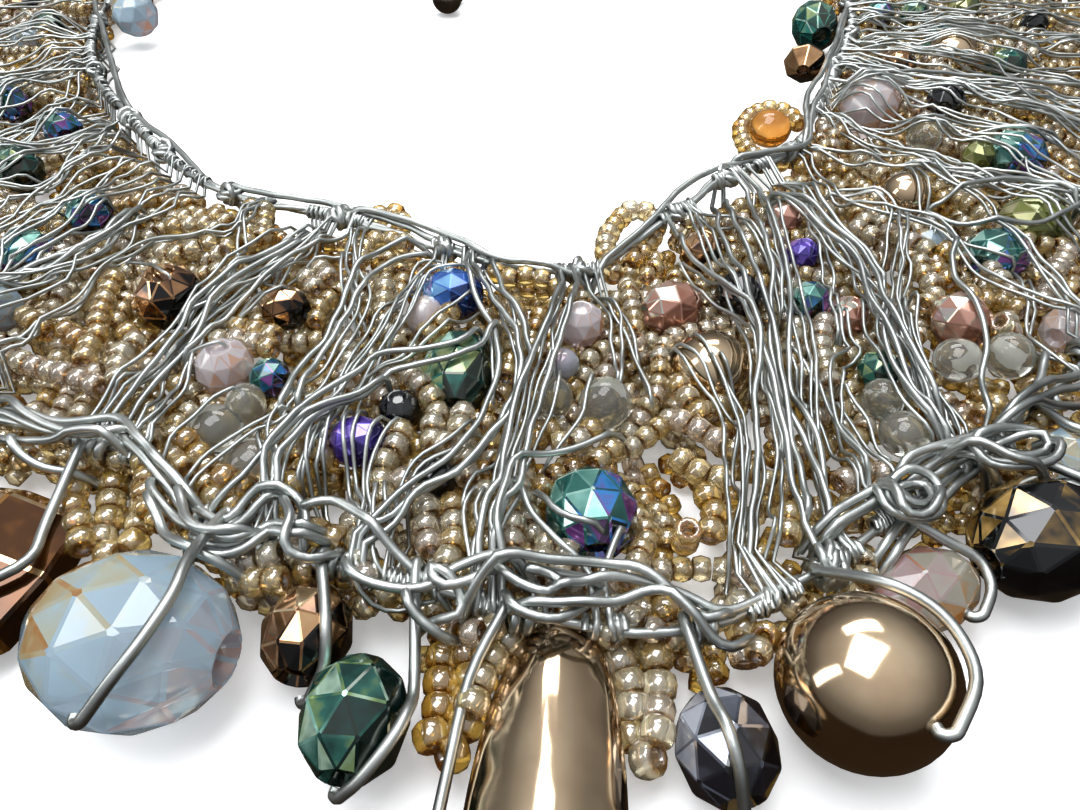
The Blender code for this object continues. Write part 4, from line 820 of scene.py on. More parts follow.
def make_materials():
    return {
        "wire": craft_wire(),
        "seed": lustre_seed_glass(),
        "steel": tumbled_steel(),
        "rose_gold": rose_gold_mirror(),
        "smoke": clear_glass("smoke_clear_glass", [(0.3, "#c4c6ba"), (0.7, "#eceee8")]),
        "amber": clear_glass("honey_clear_glass", [(0.3, "#b9772a"), (0.7, "#dba55a")]),
        "teal": faceted_glass(
            "teal_lustre_glass",
            [(0.0, "#020b0b"), (0.3, "#071d1e"), (0.4, "#7a3f8c"), (0.46, "#2f86d0"), (0.54, "#123f3c"),
             (0.7, "#2c7068"), (0.84, "#86bcb0"), (0.95, "#c2e2d8")],
            0.5, 0.0, 320.0,
        ),
        "dark_teal": faceted_glass(
            "dark_teal_glass",
            [(0.0, "#020a09"), (0.46, "#08231f"), (0.6, "#124640"), (0.68, "#2f7c72"), (0.75, "#9dac74"),
             (0.82, "#1c554a"),
             (0.95, "#b4dccc")],
            0.35, 0.0, 300.0,
        ),
        "teal_gold": faceted_glass(
            "teal_and_gold_lustre_glass",
            [(0.0, "#020c0b"), (0.45, "#0a2622"), (0.54, "#123e3a"), (0.6, "#2c6a60"), (0.65, "#84a060"),
             (0.71, "#bcdcc4"),
             (0.78, "#1f5a50"), (0.9, "#8fc4b4")],
            0.6, 0.0, 300.0,
        ),
        "olive": faceted_glass(
            "olive_glass", [(0.0, "#101408"), (0.4, "#39441b"), (0.75, "#78803c"), (1.0, "#b9b48a")], 0.3, 0.2, 300.0
        ),
        "bronze": faceted_glass(
            "bronze_coated_glass",
            [(0.0, "#0b0a0a"), (0.42, "#17110f"), (0.5, "#7a5436"), (0.62, "#b5875c"), (0.76, "#d6ae80"),
             (0.92, "#f2d8b0")],
            0.9, 0.0,
        ),
        "copper_pink": faceted_glass(
            "copper_pink_glass",
            [(0.0, "#4a2a20"), (0.4, "#9a6650"), (0.7, "#cf9d8a"), (0.9, "#b8d0c4"), (1.0, "#e0b8b8")],
            0.6, 0.0, 350.0,
        ),
        "copper_amber": faceted_glass(
            "copper_and_amber_glass",
            [(0.0, "#241406"), (0.3, "#5a3410"), (0.42, "#8e5a22"), (0.52, "#b98440"), (0.62, "#e0cba8"),
             (0.72, "#96642c"),
             (0.84, "#e8d8c2"), (1.0, "#f5eddd")],
            0.8, 0.0,
        ),
        "violet": faceted_glass(
            "violet_glass",
            [(0.0, "#0c0718"), (0.4, "#2c1a66"), (0.7, "#5a3fb0"), (0.9, "#9c86d6"), (1.0, "#b27ab8")],
            0.5, 0.0, 400.0,
        ),
        "cobalt": faceted_glass(
            "cobalt_glass",
            [(0.0, "#060a1a"), (0.4, "#142a66"), (0.7, "#3d6fc4"), (0.9, "#7fb8e0"), (1.0, "#9c6bb8")],
            0.5, 0.0, 380.0,
        ),
        "black": faceted_glass(
            "black_glass", [(0.0, "#020203"), (0.7, "#0c0c0f"), (1.0, "#3a3c42")], 0.0, 0.0, 0.0, 0.05
        ),
        "black_gold": faceted_glass(
            "black_glass_with_gold_facets",
            [(0.0, "#020203"), (0.76, "#0a0a0c"), (0.82, "#6a5226"), (0.9, "#c09c5c"), (1.0, "#dfc48a")],
            0.3, 0.0,
        ),
        "grey_black": faceted_glass(
            "grey_and_black_glass",
            [(0.0, "#b08838"), (0.24, "#3a2a12"), (0.34, "#0c0b0e"), (0.6, "#1f1e24"), (0.74, "#5a5e6a"),
             (0.9, "#b4bac6")],
            0.3, 0.1,
        ),
        "opal_amber": opal_glass(
            "opal_glass_with_amber",
            [(0.0, "#c48a6c"), (0.18, "#b8acb0"), (0.34, "#a6b8c6"), (0.62, "#aac4d4"), (0.74, "#b8bcaa"),
             (0.84, "#c4ac7c"),
             (0.93, "#b47e44"), (1.0, "#9a6230")], 0.0,
        ),
        "opal_pink": opal_glass(
            "opal_glass_with_pink",
            [(0.0, "#e0935c"), (0.26, "#e2b89e"), (0.46, "#dcd0d4"), (0.8, "#ece8ea"), (1.0, "#e6b890")], 0.0,
        ),
        "opal_orange": opal_glass(
            "opal_glass_with_orange",
            [(0.0, "#b05c1c"), (0.3, "#c08c50"), (0.44, "#a8a898"), (0.62, "#b0b0a8"), (0.8, "#b09098"),
             (1.0, "#c07a40")], 0.0,
        ),
        "pearl": opal_glass("pearl_grey_glass", [(0.0, "#8f98a0"), (0.5, "#b4b8c4"), (1.0, "#d8c8d4")], 500.0),
    }


def make_tree(name, sockets):
    """A Geometry Nodes tree with named inputs, its input and output nodes."""
    tree = bpy.data.node_groups.new(name, "GeometryNodeTree")
    tree.interface.new_socket("Geometry", in_out="INPUT", socket_type="NodeSocketGeometry")
    for label, kind in sockets:
        tree.interface.new_socket(label, in_out="INPUT", socket_type="NodeSocket" + kind)
    tree.interface.new_socket("Geometry", in_out="OUTPUT", socket_type="NodeSocketGeometry")
    return tree, add(tree, "NodeGroupInput").outputs


def run_tree(tree, data, name, values):
    """The tree's result on some data, as a plain mesh object at the origin."""
    holder = bpy.data.objects.new(name + "_source", data)
    bpy.context.scene.collection.objects.link(holder)
    step = holder.modifiers.new("repeat", "NODES")
    step.node_group = tree
    for item in tree.interface.items_tree:
        if item.in_out == "INPUT" and item.name in values:
            step[item.identifier] = values[item.name]
    bpy.context.view_layer.update()
    evaluated = holder.evaluated_get(bpy.context.evaluated_depsgraph_get())
    mesh = bpy.data.meshes.new_from_object(evaluated)
    bpy.data.objects.remove(holder, do_unlink=True)
    piece = bpy.data.objects.new(name, mesh)
    bpy.context.scene.collection.objects.link(piece)
    return piece


def seed_bead_tree():
    """One turned bead on each point, its hole along the point's way."""
    tree, given = make_tree(
        "seed beads on strings",
        [("Width", "Float"), ("Length", "Float"), ("Hole", "Float"), ("Around", "Int"), ("Across", "Int"),
         ("Material", "Material")],
    )
    wall = add(tree, "ShaderNodeMath", {0: given["Width"], 1: given["Hole"]}, operation="SUBTRACT").outputs["Value"]
    middle = add(tree, "ShaderNodeMath", {0: given["Width"], 1: given["Hole"]}, operation="ADD").outputs["Value"]
    ring_radius = add(tree, "ShaderNodeMath", {0: middle, 1: 0.25}, operation="MULTIPLY").outputs["Value"]
    ring = add(tree, "GeometryNodeCurvePrimitiveCircle", {"Resolution": given["Around"], "Radius": ring_radius})
    half_wall = add(tree, "ShaderNodeMath", {0: wall, 1: 0.5}, operation="MULTIPLY").outputs["Value"]
    stretch = add(tree, "ShaderNodeCombineXYZ", {"X": half_wall, "Y": given["Length"], "Z": 1.0})
    outline = add(tree, "GeometryNodeCurvePrimitiveCircle", {"Resolution": given["Across"], "Radius": 0.5})
    wall_outline = add(
        tree, "GeometryNodeTransform", {"Geometry": outline.outputs["Curve"], "Scale": stretch.outputs["Vector"]}
    )
    bead = add(
        tree,
        "GeometryNodeCurveToMesh",
        {"Curve": ring.outputs["Curve"], "Profile Curve": wall_outline.outputs["Geometry"]},
    )
    # Each corner's distance from the hole as a share of the width, stored as depth for the painted shade near the
    # hole.
    corner = add(tree, "GeometryNodeInputPosition").outputs["Position"]
    flat = add(tree, "ShaderNodeVectorMath", {0: corner, 1: (1, 1, 0)}, operation="MULTIPLY").outputs["Vector"]
    reach = add(tree, "ShaderNodeVectorMath", {0: flat}, operation="LENGTH").outputs["Value"]
    share = add(tree, "ShaderNodeMath", {0: reach, 1: given["Width"]}, operation="DIVIDE").outputs["Value"]
    marked = add(
        tree,
        "GeometryNodeStoreNamedAttribute",
        {"Geometry": bead.outputs["Mesh"], "Name": "depth", "Value": share},
        data_type="FLOAT",
        domain="POINT",
    )
    way = add(tree, "GeometryNodeInputNamedAttribute", {"Name": "way"}, data_type="FLOAT_VECTOR")
    turn = add(tree, "FunctionNodeAlignRotationToVector", {"Vector": way.outputs["Attribute"]}, axis="Z")
    size = add(tree, "GeometryNodeInputNamedAttribute", {"Name": "size"}, data_type="FLOAT")
    placed = add(
        tree,
        "GeometryNodeInstanceOnPoints",
        {
            "Points": given["Geometry"],
            "Instance": marked.outputs["Geometry"],
            "Rotation": turn.outputs["Rotation"],
            "Scale": size.outputs["Attribute"],
        },
    )
    whole = add(tree, "GeometryNodeRealizeInstances", {"Geometry": placed.outputs["Instances"]})
    smooth = add(tree, "GeometryNodeSetShadeSmooth", {"Geometry": whole.outputs["Geometry"]})
    done = add(
        tree, "GeometryNodeSetMaterial", {"Geometry": smooth.outputs["Geometry"], "Material": given["Material"]}
    )
    add(tree, "NodeGroupOutput", {"Geometry": done.outputs["Geometry"]})
    return tree


def wire_tree():
    """A round wire along each line."""
    tree, given = make_tree("drawn wire", [("Thickness", "Float"), ("Sides", "Int"), ("Material", "Material")])
    radius = add(tree, "ShaderNodeMath", {0: given["Thickness"], 1: 0.5}, operation="MULTIPLY").outputs["Value"]
    outline = add(tree, "GeometryNodeCurvePrimitiveCircle", {"Resolution": given["Sides"], "Radius": radius})
    tube = add(
        tree,
        "GeometryNodeCurveToMesh",
        {"Curve": given["Geometry"], "Profile Curve": outline.outputs["Curve"], "Fill Caps": True},
    )
    smooth = add(tree, "GeometryNodeSetShadeSmooth", {"Geometry": tube.outputs["Mesh"]})
    whole = add(tree, "GeometryNodeRealizeInstances", {"Geometry": smooth.outputs["Geometry"]})
    done = add(
        tree, "GeometryNodeSetMaterial", {"Geometry": whole.outputs["Geometry"], "Material": given["Material"]}
    )
    add(tree, "NodeGroupOutput", {"Geometry": done.outputs["Geometry"]})
    return tree


def wires(name, routes, thickness, sides, closed=False, finish="wire"):
    """Wires along routes in millimetres, as one mesh."""
    curve = bpy.data.curves.new(name, "CURVE")
    curve.dimensions = "3D"
    low, high = (np.array(corner) / MM for corner in CAD_BOX)
    half = thickness / 2 + 0.02
    routes = [np.clip(route, low + half, high - half) for route in routes if len(route) > 1]
    for route in routes:
        spline = curve.splines.new("POLY")
        spline.points.add(len(route) - 1)
        four = np.ones((len(route), 4))
        four[:, :3] = np.asarray(route) * MM
        spline.points.foreach_set("co", four.ravel())
        spline.use_cyclic_u = closed
    values = {"Thickness": thickness * MM, "Sides": sides, "Material": MATERIALS[finish]}
    return run_tree(TREES["wire"], curve, name, values)


class Lying:
    """A glass bead's place and half sizes, in millimetres: along its hole, across it and up."""

    def __init__(self, name, cut, sides, heading, glass, middle, halves):
        self.name, self.cut, self.sides, self.glass = name, cut, sides, glass
        self.upright = heading == "up"
        angle = angle_and_distance(middle)[0] + (0 if self.upright else heading)
        a = math.radians(angle)
        self.along = np.array((math.sin(a), -math.cos(a), 0.0))
        self.across = np.array((math.cos(a), math.sin(a), 0.0))
        self.middle = middle
        self.halves = np.array(halves)

    def plan_halves(self):
        """Half sizes along, across and up, whichever way the hole runs."""
        hole, across, up = self.halves
        return np.array((across, across, hole)) if self.upright else np.array((hole, across, up))


def packed_bead(node, cut, sides, hole, glass):
    """The bead that stands for a CAD node, measured on it."""
    corners = np.array([v.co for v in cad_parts[node].data.vertices]) / MM
    middle = (corners.min(0) + corners.max(0)) / 2
    bead = Lying(node, cut, sides, hole, glass, middle, (1, 1, 1))
    away = corners - middle
    spans = [np.abs(away @ direction).max() for direction in (bead.along, bead.across, (0, 0, 1))]
    bead.halves = np.array((spans[2], max(spans[:2]), max(spans[:2])) if bead.upright else spans)
    return bead


def small_bead(row, number):
    angle, distance, width, cut, glass = row
    half = width / 2
    middle = polar(angle, distance, SMALL_BEADS_TOP - half)
    return Lying(f"small_{number:02d}", cut, 8 if cut == "cut" else 16, "up" if number % 2 else 90, glass, middle,
                 (half * 0.85, half, half))


# Rows of corners from one end of the hole to the other: place along it, distance from it and half turn.
CUTS = {
    "cut": [(-1.0, 0.42, 0), (-0.62, 0.84, 1), (0.0, 1.0, 0), (0.62, 0.84, 1), (1.0, 0.42, 0)],
    "oval": [(-1.0, 0.30, 0), (-0.72, 0.70, 1), (-0.25, 0.97, 0), (0.25, 0.97, 1), (0.72, 0.70, 0), (1.0, 0.30, 1)],
    "bicone": [(-1.0, 0.3, 0), (-0.08, 1.0, 0), (0.08, 1.0, 0), (1.0, 0.3, 0)],
    "long": [(-1.0, 0.34, 0), (-0.8, 0.86, 0), (-0.1, 1.0, 0), (0.6, 0.94, 0), (0.92, 0.6, 0), (1.0, 0.3, 0)],
}


def ring_corners(rows, sides):
    for along, away, turn in rows:
        for k in range(sides):
            a = 2 * math.pi * (k + turn / 2) / sides
            yield Vector((away * math.cos(a), away * math.sin(a), along))


def cut_shape(bead):
    """A ground bead about its middle with its hole along Z, half sizes 1, as a closed shell."""
    bm = bmesh.new()
    for corner in ring_corners(CUTS[bead.cut], bead.sides):
        bm.verts.new(corner)
    done = bmesh.ops.convex_hull(bm, input=bm.verts)
    inner = [g for g in done["geom_interior"] if isinstance(g, bmesh.types.BMVert)]
    bmesh.ops.delete(bm, geom=inner, context="VERTS")
    bmesh.ops.dissolve_limit(bm, angle_limit=math.radians(2), verts=bm.verts, edges=bm.edges)
    return bm


def round_shape(bead):
    bm = bmesh.new()
    bmesh.ops.create_uvsphere(bm, u_segments=bead.sides, v_segments=bead.sides // 2, radius=1)
    return bm


def baroque_shape(bead):
    """A long drop, narrow at the wire and full at its end, with flat sides that turn along it."""
    bm = bmesh.new()
    rows, sides = 30, bead.sides
    rings = []
    for i in range(rows + 1):
        t = i / rows
        along = -math.cos(math.pi * t)
        full = max(math.sin(math.pi * t), 0.0005) ** 0.42 * (0.56 + 0.44 * t**0.9)
        ring = []
        for k in range(sides):
            a = 2 * math.pi * k / sides
            turn = a - 0.5 - 0.5 * t
            flat = (abs(math.cos(turn)) ** 3.4 + abs(math.sin(turn)) ** 3.4) ** (-1 / 3.4)
            ring.append(bm.verts.new((full * flat * math.cos(a) * 0.9, full * flat * math.sin(a) * 0.9, along)))
        rings.append(ring)
    for a, b in zip(rings, rings[1:]):
        for k in range(sides):
            bm.faces.new((a[k], a[(k + 1) % sides], b[(k + 1) % sides], b[k]))
    bm.faces.new(rings[0][::-1])
    bm.faces.new(rings[-1])
    return bm


# Painted light: facets that face this direction are painted lighter and those turned away darker, the same for every
# bead; the photograph shows the lit side at the upper left.
PAINTED_LIGHT_SIDE = np.array((-0.70, 0.42, 0.58))


def hole_dimples(bm):
    """Sinks a small hole into both flat ends."""
    for side in (-1, 1):
        flat = [f for f in bm.faces if f.normal.z * side > 0.98 and f.calc_center_median().z * side > 0.9]
        if not flat:
            continue
        face = max(flat, key=lambda f: f.calc_area())
        width = math.sqrt(face.calc_area())
        bmesh.ops.inset_individual(bm, faces=[face], thickness=width * 0.22)
        bmesh.ops.translate(bm, vec=(0, 0, -0.22 * side), verts=face.verts)


def bead_mesh(bead, rng):
    smooth = bead.cut in ("round", "baroque")
    bm = {"round": round_shape, "baroque": baroque_shape}.get(bead.cut, cut_shape)(bead)
    bm.normal_update()
    if not smooth:
        hole_dimples(bm)
    hole, across, up = bead.halves
    if bead.upright:
        axes = (bead.along * across, bead.across * across, np.array((0, 0, hole)))
    else:
        axes = (np.array((0, 0, up)), bead.across * across, bead.along * hole)
    place = Matrix(np.column_stack(axes + (bead.middle,)).tolist() + [[0, 0, 0, 1]])
    bmesh.ops.transform(bm, matrix=Matrix.Scale(MM, 4) @ place, verts=bm.verts)
    bmesh.ops.recalc_face_normals(bm, faces=bm.faces)
    if not smooth:
        bmesh.ops.bevel(
            bm, geom=list(bm.edges), offset=0.028 * MM * across, segments=1, affect="EDGES", profile=0.6
        )
    mesh = bpy.data.meshes.new(bead.name)
    bm.to_mesh(mesh)
    bm.free()
    tones = mesh.attributes.new("facet", "FLOAT", "FACE")
    away = np.array([face.center for face in mesh.polygons]) / MM - bead.middle
    # Painted light: the tone rises on faces turned to the lit side and falls on faces turned away; cut beads mix in a
    # random share for the coat.
    side = 0.5 + 0.5 * (away / np.linalg.norm(away, axis=1)[:, None]) @ PAINTED_LIGHT_SIDE
    chance = 0.0 if smooth else 0.4
    tone = (1 - chance) * side + chance * rng.random(len(side))
    tones.data.foreach_set("value", tone.astype(np.float32))
    if smooth:
        mesh.shade_smooth()
    mesh.materials.append(MATERIALS[bead.glass])
    return mesh


def join_meshes(name, meshes):
    """Meshes of one material joined as one object."""
    bm = bmesh.new()
    for mesh in meshes:
        bm.from_mesh(mesh)
    joined = bpy.data.meshes.new(name)
    bm.to_mesh(joined)
    bm.free()
    joined.materials.append(meshes[0].materials[0])
    piece = bpy.data.objects.new(name, joined)
    bpy.context.scene.collection.objects.link(piece)
    return piece


def keep(piece, slot, *nodes):
    """Finishes a piece: it rides on the one body and stands for its nodes, hiding their CAD parts; its slot is not
    used.
    """
    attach(piece, "root")
    if nodes:
        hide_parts(*nodes)
    return piece


def add_glass(packed, small):
    rng = np.random.default_rng(SEED)
    for bead in packed:
        mesh = bead_mesh(bead, rng)
        piece = bpy.data.objects.new(bead.name + "_glass", mesh)
        bpy.context.scene.collection.objects.link(piece)
        keep(piece, SLOTS[bead.glass], bead.name)
    groups = {}
    for bead in small:
        groups.setdefault(bead.glass, []).append(bead_mesh(bead, rng))
    for glass, meshes in groups.items():
        keep(join_meshes(f"small_{glass}_beads", meshes), SLOTS[glass])


def hidden_small_beads(rng):
    """More small beads for the arms that the photograph doesn't show."""
    rows = []
    glasses = ["teal", "bronze", "opal_amber", "smoke", "black", "dark_teal", "copper_pink", "rose_gold", "olive"]
    for side in (-1, 1):
        for k in range(15):
            angle = side * (66 + 5.6 * k) + rng.uniform(-2, 2)
            share = 0.2 + 0.6 * ((k * 0.618) % 1)
            if band(angle) < 14:
                continue
            distance = neckline(angle) + share * band(angle)
            glass = glasses[(k * 4 + (side > 0)) % len(glasses)]
            cut = "round" if glass in ("smoke", "rose_gold") else "cut"
            rows.append((angle, distance, rng.uniform(4.6, 7.2), cut, glass))
    return rows


# Seed bead strings: laid by chance in two layers, then moved until no bead is in another, in a glass bead, in
# a gap or past the edge wires.
def wander(rng, angle, share, beads, level, outward_bias):
    """One string's bead places, from a start on the band, turning slowly as it goes."""
    spot = on_band(angle, share, level)
    heading = rng.uniform(0, 2 * math.pi)
    if outward_bias:
        heading = math.radians(angle - 90) + rng.normal(0, 0.4) + rng.choice((0, math.pi))
    curl = rng.normal(0, 0.12)
    wave = rng.uniform(0, 2 * math.pi)
    places = []
    for k in range(beads):
        places.append(spot.copy())
        here, distance = angle_and_distance(spot)
        across = (distance - neckline(here)) / max(band(here), 4)
        a = math.radians(here)
        outward = np.array((math.sin(a), -math.cos(a)))
        outer = 0.9 + float(past_outer_wire(here)) / 40
        if across < 0.1 or across > outer:
            aim = -outward if across > outer else outward
            swing = math.atan2(aim[1], aim[0]) - heading
            heading += 0.45 * math.sin(swing)
        curl = 0.9 * curl + rng.normal(0, 0.09)
        heading += curl
        spot = spot + SEED_PITCH * np.array((math.cos(heading), math.sin(heading), 0.0))
        spot[2] = level + 0.8 * math.sin(0.5 * k + wave)
    return np.array(places)


def traced(points, height=0.0):
    """A smooth line in millimetres through places given as angle and share of the band."""
    points = np.array(points, float)
    return smooth_line(on_band(points[:, 0], points[:, 1], height), 5)


def even_steps(line, step):
    """Places one step apart along a line of points."""
    line = np.asarray(line, float)
    run = np.concatenate(([0], np.cumsum(np.linalg.norm(np.diff(line, axis=0), axis=1))))
    marks = np.arange(0, run[-1], step)
    return np.stack([np.interp(marks, run, line[:, i]) for i in range(3)], -1)


def neighbour_pairs(points, reach):
    """Index pairs of points in the same or touching cells of a grid."""
    cell = np.floor(points / reach).astype(np.int64)
    cell -= cell.min(0) - 1
    wide = cell.max(0) + 2
    key = (cell[:, 0] * wide[1] + cell[:, 1]) * wide[2] + cell[:, 2]
    order = np.argsort(key, kind="stable")
    keys = key[order]
    count = np.arange(len(points))
    steps = [(x, y, z) for x in (0, 1) for y in (-1, 0, 1) for z in (-1, 0, 1) if (x, y, z) >= (0, 0, 0)]
    firsts, seconds = [], []
    for x, y, z in steps:
        goal = keys + (x * wide[1] + y) * wide[2] + z
        low, high = np.searchsorted(keys, goal, "left"), np.searchsorted(keys, goal, "right")
        if (x, y, z) == (0, 0, 0):
            low = count + 1
        found = np.maximum(high - low, 0)
        firsts.append(np.repeat(count, found))
        within = np.arange(found.sum()) - np.repeat(np.cumsum(found) - found, found)
        seconds.append(np.repeat(low, found) + within)
    return order[np.concatenate(firsts)], order[np.concatenate(seconds)]


def scatter(points, index, moves):
    for axis in range(3):
        points[:, axis] += np.bincount(index, moves[:, axis], len(points))


def past_outer_wire(angle):
    """How far the mat reaches under and past the outer wire: it does between the front drops."""
    return np.interp(np.abs(angle), (36, 48), (4.6, 0.0))


def settle_strings(places, string, kinds, beads, rounds=110):
    """Moves string beads until they clear each other and all else. Kinds: 0 hangs past the wires, 1 lies on
    top, 2 is in the mat."""
    follow = np.nonzero(string[1:] == string[:-1])[0]
    second = np.nonzero(string[2:] == string[:-2])[0]
    home = places.copy()
    loose = kinds > 0
    low_height = np.array(LOWEST_MIDDLES)[kinds]
    sizes = np.array(SEED_SIZES)[kinds]
    for turn in range(rounds):
        if turn % 5 == 0:
            a, b = neighbour_pairs(places, 2.8)
            apart = ~((string[a] == string[b]) & (np.abs(a - b) == 1))
            a, b = a[apart], b[apart]
        gap = places[a] - places[b]
        distance = np.linalg.norm(gap, axis=1)
        short = np.clip(SEED_ROOM - distance, 0, None)
        push = gap / np.maximum(distance, 1e-6)[:, None] * (short * 0.42)[:, None]
        push[:, 2] *= 0.8
        scatter(places, a, push)
        scatter(places, b, -push)
        for ahead, want in ((1, SEED_PITCH), (2, 1.75 * SEED_PITCH)):
            start = follow if ahead == 1 else second
            link = places[start + ahead] - places[start]
            length = np.maximum(np.linalg.norm(link, axis=1), 1e-6)
            wrong = length - want * sizes[start]
            if ahead == 2:
                wrong = np.minimum(wrong, 0)
            pull = link / length[:, None] * (wrong * 0.45)[:, None]
            scatter(places, start, pull)
            scatter(places, start + ahead, -pull)
        for bead in beads:
            halves = bead.plan_halves() + SEED_WIDTH / 2 + 0.05
            away = places - bead.middle
            near = np.nonzero(np.abs(away[:, :2]).max(1) < halves.max() + 0.1)[0]
            if len(near) == 0:
                continue
            local = np.stack(
                [
                    away[near] @ bead.along / halves[0],
                    away[near] @ bead.across / halves[1],
                    away[near, 2] / halves[2],
                ],
                1,
            )
            size = np.linalg.norm(local, axis=1)
            inside = size < 1
            near, size = near[inside], np.maximum(size[inside], 0.05)
            out = away[near] * (1 / size - 1)[:, None]
            out[:, 2] *= 0.4
            places[near] += out * 0.7
        for angle, share, width in MAT_GAPS:
            middle = on_band(angle, share)
            away = places[:, :2] - middle[:2]
            distance = np.linalg.norm(away, axis=1)
            near = distance < width / 2 + SEED_WIDTH / 2
            grow = (width / 2 + SEED_WIDTH / 2) / np.maximum(distance[near], 0.05) - 1
            places[near, :2] += away[near] * (grow * 0.5)[:, None]
        angle, distance = angle_and_distance(places)
        low = neckline(angle) + 1.7
        high = np.maximum(neckline(angle) + band(angle) - 1.6 + past_outer_wire(angle), low + 0.2)
        scale = np.where(loose, np.clip(distance, low, high), distance) / np.maximum(distance, 1)
        places[:, 0] = NECK_X + (places[:, 0] - NECK_X) * scale
        places[:, 1] = NECK_Y + (places[:, 1] - NECK_Y) * scale
        highest = np.where(kinds == 2, MAT_TOP * height_share(angle), TOP_STRINGS_TOP)
        places[:, 2] = np.clip(places[:, 2], np.minimum(low_height, highest), np.maximum(highest, FILL_HEIGHT))
        pull_home = np.where(kinds == 0, 0.3, np.where(kinds == 1, 0.06, 0.0))[:, None]
        places += (home - places) * pull_home
    return places


def lay_strings(beads):
    """All seed bead places, their ways, sizes and tones, and the string and kind of each."""
    rng = np.random.default_rng(SEED + 1)
    steps = SEED_PITCH * np.array(SEED_SIZES)
    strings = [
        even_steps(traced(points, 4.2 if name.endswith("neck") else 3.4), steps[0]) for name, points in SEED_LOOPS
    ]
    strings += [even_steps(traced(points, 4.4), steps[0]) for points in HANGING_STRINGS]
    kinds = [0] * len(strings)
    strings += [even_steps(traced(points, 6.4), steps[1]) for points in TOP_STRINGS]
    kinds += [1] * (len(strings) - len(kinds))
    angles = np.arange(-157, 157.5, 0.5)
    area = np.radians(0.5) * (neckline(angles) + band(angles) / 2) * band(angles)
    front = np.abs(angles) < 60
    area = area * (1 + past_outer_wire(angles) / 45)
    for level, share in ((1.6, 0.17), (3.9, np.where(front, 0.18, 0.15))):
        wanted = area * share
        total = wanted.sum()
        laid = 0
        while laid < total:
            angle = rng.choice(angles, p=wanted / total)
            count = int(rng.integers(7, 22))
            across = rng.uniform(0.06, 0.94 + float(past_outer_wire(angle)) / 45)
            strings.append(wander(rng, angle, across, count, level * height_share(angle), level > 2))
            laid += count
    kinds += [2] * (len(strings) - len(kinds))
    strings = [s if len(s) > 1 else np.vstack((s, s + (0, 0.2, -SEED_PITCH))) for s in strings]
    string = np.concatenate([np.full(len(s), i) for i, s in enumerate(strings)])
    kind = np.array(kinds)[string]
    places = settle_strings(np.concatenate(strings), string, kind, beads)
    low, high = (np.array(corner)[:2] / MM for corner in CAD_BOX)
    places[:, :2] = np.clip(places[:, :2], low + SEED_WIDTH * 0.65, high - SEED_WIDTH * 0.65)
    ways = np.zeros_like(places)
    ways[1:-1] = places[2:] - places[:-2]
    starts = np.nonzero(np.concatenate(([True], string[1:] != string[:-1])))[0]
    ends = np.concatenate((starts[1:], [len(string)])) - 1
    ways[starts] = places[starts + 1] - places[starts]
    ways[ends] = places[ends] - places[ends - 1]
    tone = np.clip(rng.normal(0.6, 0.2, len(strings))[string] + rng.normal(0, 0.14, len(places)), 0, 1)
    size = np.array(SEED_SIZES)[kind] * rng.uniform(0.95, 1.05, len(places))
    return {"places": places, "ways": unit(ways), "tone": tone, "size": size, "string": string, "kind": kind}


def fill_gaps(laid, surface):
    """More seed beads low in the mat, wherever the table would show."""
    rng = np.random.default_rng(SEED + 5)
    spots = []
    for angle in np.arange(-156, 156, FILL_TURN):
        first = neckline(angle) + 1.6
        last = neckline(angle) + band(angle) - 1 + past_outer_wire(angle)
        for distance in np.arange(first, last, FILL_STEP):
            spots.append(polar(angle + rng.uniform(-0.3, 0.3), distance + rng.uniform(-0.4, 0.4), FILL_HEIGHT))
    spots = np.array(spots)
    for angle, share, width in MAT_GAPS:
        away = np.linalg.norm(spots[:, :2] - on_band(angle, share)[:2], axis=1)
        spots = spots[away > width / 2 + 0.9]
    kept = []
    for spot in spots:
        if surface.height_at(spot) < 0.4:
            kept.append(spot)
            surface.raise_to(spot[None], SEED_WIDTH * 0.42)
    count = len(kept)
    heading = rng.uniform(0, 2 * math.pi, count)
    more = {
        "places": np.array(kept),
        "ways": np.stack((np.cos(heading), np.sin(heading), rng.normal(0, 0.2, count)), -1),
        # Painted shade: these beads lie lowest in the mat and take darker, deeper gold tones than the strings over
        # them.
        "tone": np.clip(rng.normal(0.25, 0.15, count), 0, 1),
        "size": np.ones(count),
        "string": laid["string"].max() + 1 + np.arange(count),
        "kind": np.full(count, 2),
    }
    for name, values in more.items():
        laid[name] = np.concatenate((laid[name], values))


